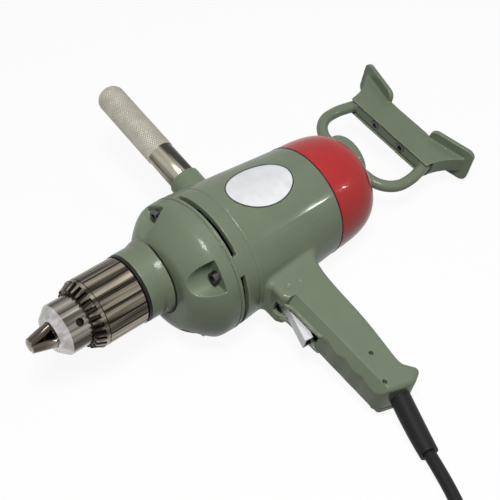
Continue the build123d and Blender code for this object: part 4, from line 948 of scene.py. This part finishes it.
@dataclass
class Chuck:
    """Keyed chuck and what turns with it.

    Places are along the drill's X. The margin keeps faces on a ridge out of the flutes.
    """

    jaws: int = 3
    sleeve: float = 28.5
    sleeve_start: float = 62.5
    sleeve_end: float = 99.5
    flute_floor: float = 26.0
    margin: float = 0.3
    teeth_end: float = 106.6
    teeth_radius: float = 25.0
    teeth_drop: float = 0.5
    nose: float = 21.0
    key_hole: float = 113.4
    key_half: float = 3.4
    key_depth: float = 0.4
    cone: float = 123.9
    cone_radius: float = 13.5
    face: float = 130.9

    @staticmethod
    def off_axis(spot: Vector) -> float:
        """Distance of a place from the spindle's axis."""
        return math.hypot(spot.y - SPINDLE_Y, spot.z)

    def in_flute(self, spot: Vector) -> bool:
        """Whether a place on the sleeve lies in a flute or between two teeth.

        Args:
            spot: the place, in the drill's axes.

        Returns:
            True where it does.
        """
        radius = self.off_axis(spot)
        if spot.x < self.sleeve_end:
            return spot.x > self.sleeve_start and self.flute_floor < radius < self.sleeve - self.margin
        share = (spot.x - self.sleeve_end) / (self.teeth_end - self.sleeve_end)
        tops = self.sleeve - self.teeth_drop + share * (self.teeth_radius - self.sleeve)
        return radius < tops - self.margin

    def in_key_hole(self, spot: Vector) -> bool:
        """Whether a place on the nose lies in a key hole."""
        beside = abs(spot.x - self.key_hole) < self.key_half
        return beside and self.off_axis(spot) < self.nose - self.key_depth

    def on_cone(self, spot: Vector) -> bool:
        """Whether a place lies on the cone round the jaws, or on the face ahead of it, which get a
        lighter steel as a painted highlight.
        """
        return spot.x > self.face or (spot.x > self.cone and self.off_axis(spot) > self.cone_radius)

    def build(self) -> None:
        """Dress sleeve, nut, body and jaws, with painted shade in the flutes, between the teeth and in
        the key holes, and a painted highlight on the cone.
        """
        dress("chuck_sleeve", CHUCK)
        # flutes and gaps between the teeth: painted shade
        dress_faces("chuck_sleeve", SHADE_STEEL, self.in_flute)
        dress("chuck_nut", CHUCK)
        dress("chuck_body", BAND)
        # cone and front face: lighter steel as a painted highlight
        dress_faces("chuck_body", HIGHLIGHT_STEEL, self.on_cone)
        # key holes: painted shade
        dress_faces("chuck_body", SHADE_STEEL, self.in_key_hole)
        for number in range(1, self.jaws + 1):
            dress(f"chuck_jaw_{number}", JAW)
        dress("dust_seal", RUBBER)


@dataclass
class Inside:
    """Motor, gears, switch and fasteners."""

    finishes: tuple[tuple[Finish, str], ...] = (
        (SHAFT, "spindle spindle_gear intermediate_shaft intermediate_gear armature_shaft"),
        (SHAFT, "armature_bearing_front armature_bearing_rear intermediate_bearing_front"),
        (SHAFT, "intermediate_bearing_rear spindle_bearing_front spindle_bearing_rear"),
        (PLATE, "gear_plate"), (PIN, "trigger_pin switch_pin"), (BLACK_STEEL_AND_SHADE, "cord_clamp"),
        (BLACK_STEEL_AND_SHADE, "gear_case_screws end_cap_screws d_handle_screws"),
        (BLACK_STEEL_AND_SHADE, "breast_plate_screws grip_cover_screws"),
        (LAMINATE, "stator_core armature_core"), (COPPER, "field_coils armature_winding commutator"),
        (BRASS, "brush_holders"), (BROWN_BOARD, "brush_ring"), (CARBON, "carbon_brushes"),
        (PLASTIC, "switch_body switch_button cooling_fan"),
    )

    def build(self) -> None:
        """Dress every solid in the list."""
        for finish, names in self.finishes:
            for node in names.split():
                dress(node, finish)


@dataclass
class TriggerLever:
    """Plated trigger, a channel of bent sheet. Its front is given by X and Y at three places."""

    half: float = 5.2
    sheet: float = 1.6
    slack: float = 0.1
    front: tuple[tuple[float, float], ...] = ((-30.6, 66.0), (-28.8, 78.0), (-20.0, 106.3))

    def in_channel(self, spot: Vector) -> bool:
        """Whether a place lies inside the channel, where little light gets, so that it is painted dark as
        shade.

        Args:
            spot: the place, in the drill's axes.

        Returns:
            True where it does.
        """
        first, bend, last = self.front
        (x_one, y_one), (x_two, y_two) = (first, bend) if spot.y < bend[1] else (bend, last)
        edge = x_one + (x_two - x_one) * (spot.y - y_one) / (y_two - y_one)
        inner = self.half - self.sheet + self.slack
        return abs(spot.z) < inner and spot.x < edge - self.sheet / 2

    def build(self) -> None:
        """Dress the lever."""
        dress("trigger", TRIGGER)
        # inside of the channel: near-black steel as painted shade
        dress_faces("trigger", BLACK_STEEL_AND_SHADE, self.in_channel)


@dataclass
class NamePlate:
    """Bare oval plate with a dark rim, on the barrel's cone.

    The inset brings the rim's middle line just inside the plate's edge.
    """

    middle: float = -60.0
    half: tuple[float, float] = (31.0, 21.5)
    # turned about the barrel's axis, in degrees
    turn: float = 5.0
    barrel_front: float = 58.8
    barrel_rear: float = 49.6
    barrel_length: float = 113.5
    proud: float = 0.8
    rim: float = 0.5
    rim_points: int = 48
    inset: float = 0.985

    def on_barrel(self, angle: float) -> Vector:
        """Place on the plate's rim.

        Args:
            angle: round the oval, in radians.

        Returns:
            The place in the drill's axes, in millimetres.
        """
        x = self.middle + self.inset * self.half[0] * math.cos(angle)
        y = self.inset * self.half[1] * math.sin(angle)
        taper = (self.barrel_front - self.barrel_rear) / self.barrel_length
        radius = self.barrel_front + taper * x + self.proud
        spot = Vector((x, y, math.sqrt(radius**2 - y**2)))
        return Matrix.Rotation(math.radians(self.turn), 3, "X") @ spot

    def build(self) -> None:
        """Dress the plate and lay the rim on it."""
        dress("name_plate", PLATE)
        line = [self.on_barrel(2 * math.pi * k / self.rim_points) for k in range(self.rim_points)]
        mesh = tube("plate_rim", line, [self.rim] * len(line), closed=True)
        new_piece("plate_rim", mesh, RIM_BLACK, Slot.DARK)


@dataclass
class PowerCord:
    """Cord from its guard to the plug, with the unseen length coiled and tied.

    The coil has axes of its own, turned by the heading, and starts at the entry. Its control
    points lie outside the line that they give, which runs at a share of their radius.
    """

    # radius, length and route are in metres, the heading in degrees
    radius: float = 5.0 * MM
    length: float = 2.73
    route: tuple[Point, ...] = (
        (0.03255, 0.22629, 0.01018), (0.04056, 0.25099, 0.00878), (0.05275, 0.27840, 0.00673),
        (0.06154, 0.31124, 0.00650), (0.07276, 0.33906, 0.00650))
    heading: float = 68.02533
    entry: tuple[float, float] = (-10.0, 76.4)
    inner: float = 44.0
    pitch: float = 10.8
    half_turns: int = 7
    per_half: int = 8
    line_share: float = 0.981
    low: float = 6.5
    tail: float = 74.0
    tail_shares: tuple[float, ...] = (0.35, 0.7, 1.0)
    sides: int = 6
    steps: int = 8

    def turns(self) -> list[Point]:
        """Points of the coil in its own axes: round, up one layer, round again and out.

        Returns:
            Control points in millimetres, the same number for each half turn.
        """
        step = self.pitch / 2
        down = [self.inner + step * (self.half_turns - 1 - n) for n in range(self.half_turns)]
        u, side, z = down[0], 1, self.low
        points = []
        for n, r in enumerate(down + [down[-1] - step] + down[:0:-1]):
            middle = u - side * r
            wide = r / self.line_share
            climb = self.pitch if n == self.half_turns else 0.0
            for k in range(self.per_half):
                share = (k + 0.5) / self.per_half
                x = side * wide * math.sin(math.pi * share)
                y = middle + side * wide * math.cos(math.pi * share)
                points.append((x, y, z + climb * share))
            z += climb
            u, side = u - side * 2 * r, -side
        return points + [(share * self.tail, u, z) for share in self.tail_shares]

    def build(self) -> None:
        """Draw the cord as one smooth line and dress guard, tie and plug."""
        spin = Matrix.Rotation(math.radians(self.heading), 3, "Z")
        last = Vector((*self.route[-1][:2], 0.0))
        entry = Vector((*self.entry, 0.0))
        points = [Vector(p) for p in self.route]
        points += [last + spin @ ((Vector(p) - entry) * MM) for p in self.turns()]
        data = smooth_curve("power_cord", points, self.radius, self.sides, self.steps)
        data.materials.append(RUBBER.material())
        cord = bpy.data.objects.new("power_cord", data)
        bpy.context.scene.collection.objects.link(cord)
        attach(cord, HOUSING)
        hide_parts("cord", "cord_coil")
        dress("cord_guard", RUBBER)
        dress("cord_tie", RUBBER)
        dress("plug_body", PLASTIC)
        dress("plug_pins", NICKEL)
        log.info("power_cord: %d points", len(points))


@dataclass(frozen=True)
class Lamp:
    """Soft lamp, placed in the camera's axes (right, up, towards it) around what it lights.

    Its spot and its size, length by width, are in metres, and its power is in watts. Along is
    the way that its length runs.
    """

    name: str
    spot: Point
    power: float
    size: tuple[float, float]
    along: Point = (1.0, 0.0, 0.0)


@dataclass
class Studio:
    """Camera, floor and light.

    The camera's spot and the rows of its rotation are in the drill's own axes. The floor has
    one tone for the light that it throws back and another for the eye, with a share of glow.
    """

    lens: float = 82.8
    sensor: float = 36.0
    spot: Point = (402.475, 374.022, 724.613)
    rows: tuple[Point, ...] = (
        (-0.751516, -0.448761, 0.483567), (0.643921, -0.658396, 0.389719), (0.143488, 0.604259, 0.783762))
    # these reaches are in metres
    near: float = 0.01
    far: float = 50.0
    floor_half: float = 40.0
    aim: Point = (0.0, 0.0, 0.06)
    floor_lit: float = 0.10
    floor_seen: float = 0.95
    floor_glow: float = 0.93
    surround: float = 0.03
    lamps: tuple[Lamp, ...] = (
        Lamp("key", (0.0, 0.42, 1.18), 13.8, (0.36, 0.36)),
        Lamp("strip", (0.40, 0.84, 0.68), 0.9, (0.8, 0.26), (0.6, -0.63, 0.35)),
        Lamp("spark", (1.1, 0.33, 0.36), 0.8, (0.03, 0.03)))

    def camera(self) -> None:
        """Camera of the photograph, placed in the drill's own axes."""
        data = bpy.data.cameras.new("camera")
        data.lens = self.lens
        data.sensor_width = self.sensor
        data.clip_start = self.near
        data.clip_end = self.far
        made = bpy.data.objects.new("camera", data)
        bpy.context.scene.collection.objects.link(made)
        turn = Matrix(self.rows).to_4x4()
        made.matrix_world = DRILL @ Matrix.Translation(Vector(self.spot) * MM) @ turn
        bpy.context.scene.camera = made

    @staticmethod
    def seen_share(sheet: Sheet, share: float) -> bpy.types.NodeSocket:
        """Share for rays that reach the eye, directly or by way of metal or glass.

        Args:
            sheet: where to draw.
            share: the value for such rays; other rays get 0.

        Returns:
            The value's socket.
        """
        path = sheet.node("LightPath")
        seen = sheet.maths("MAXIMUM", path.outputs["Is Camera Ray"], path.outputs["Is Glossy Ray"])
        seen = sheet.maths("MAXIMUM", seen, path.outputs["Is Transmission Ray"])
        return sheet.maths("MULTIPLY", seen, share)

    def show(self, sheet: Sheet, plain: bpy.types.Node, seen: bpy.types.Node, share: float,
             output: bpy.types.Node) -> None:
        """Lead two shaders to an output, the second for rays that reach the eye.

        Args:
            sheet: where to draw.
            plain: shader that lights the drill.
            seen: shader for the eye.
            share: how much of it the eye gets.
            output: the output's node.
        """
        blend = sheet.node("MixShader")
        factor, first, second = blend.inputs
        sheet.link(self.seen_share(sheet, share), factor)
        sheet.link(plain.outputs[0], first)
        sheet.link(seen.outputs[0], second)
        sheet.link(blend.outputs[0], output.inputs["Surface"])

    def floor(self) -> None:
        """Pale floor that keeps a faint shadow."""
        half = self.floor_half
        corners = [(-half, -half, 0), (half, -half, 0), (half, half, 0), (-half, half, 0)]
        data = bpy.data.meshes.new("floor")
        data.from_pydata(corners, [], [(0, 1, 2, 3)])
        made = bpy.data.objects.new("floor", data)
        bpy.context.scene.collection.objects.link(made)
        paint = bpy.data.materials.new("floor_paper")
        paint.use_nodes = True
        nodes = paint.node_tree.nodes
        nodes.remove(nodes["Principled BSDF"])
        sheet = Sheet(paint.node_tree)
        paper = sheet.node("BsdfDiffuse")
        lit = (self.floor_lit,) * 3
        seen = (self.floor_seen,) * 3
        tone = sheet.mix(lit, seen, self.seen_share(sheet, share=1.0))
        sheet.link(tone, paper.inputs["Color"])
        glow = sheet.node("Emission", in_Color=WHITE, in_Strength=1.0)
        self.show(sheet, paper, glow, share=self.floor_glow, output=nodes["Material Output"])
        data.materials.append(paint)

    def world(self) -> None:
        """White surround for the eye, softer light for the drill."""
        world = bpy.data.worlds.new("studio")
        bpy.context.scene.world = world
        world.use_nodes = True
        nodes = world.node_tree.nodes
        sheet = Sheet(world.node_tree)
        soft = nodes["Background"]
        soft.inputs["Color"].default_value = WHITE
        soft.inputs["Strength"].default_value = self.surround
        white = sheet.node("Background", in_Color=WHITE, in_Strength=1.0)
        self.show(sheet, soft, white, share=1.0, output=nodes["World Output"])

    def hang(self, lamp: Lamp) -> None:
        """Put a lamp in the scene, facing the drill.

        Args:
            lamp: what it is and where it stands.
        """
        data = bpy.data.lights.new(lamp.name, "AREA")
        data.shape = "RECTANGLE"
        data.energy = lamp.power
        data.size, data.size_y = lamp.size
        made = bpy.data.objects.new(lamp.name, data)
        bpy.context.scene.collection.objects.link(made)
        eye = bpy.context.scene.camera.matrix_world.to_3x3()
        reach = eye @ Vector(lamp.spot)
        back = reach.normalized()
        side = (eye @ Vector(lamp.along)).cross(back).normalized()
        made.location = Vector(self.aim) + reach
        made.rotation_mode = "QUATERNION"
        made.rotation_quaternion = Matrix((back.cross(side), -side, back)).transposed().to_quaternion()

    def build(self) -> None:
        """Camera first, then floor, surround and lamps."""
        self.camera()
        self.floor()
        self.world()
        for lamp in self.lamps:
            self.hang(lamp)
        bpy.context.scene.view_settings.view_transform = "Standard"


def main() -> None:
    """Build every sub-assembly in order."""
    logging.basicConfig(level=logging.INFO, format="%(message)s")
    Studio().build()
    PowerCord().build()
    Castings().build()
    Chuck().build()
    SideBar().build()
    TriggerLever().build()
    NamePlate().build()
    Inside().build()
    bpy.context.view_layer.update()


if __name__ == "__main__":
    main()
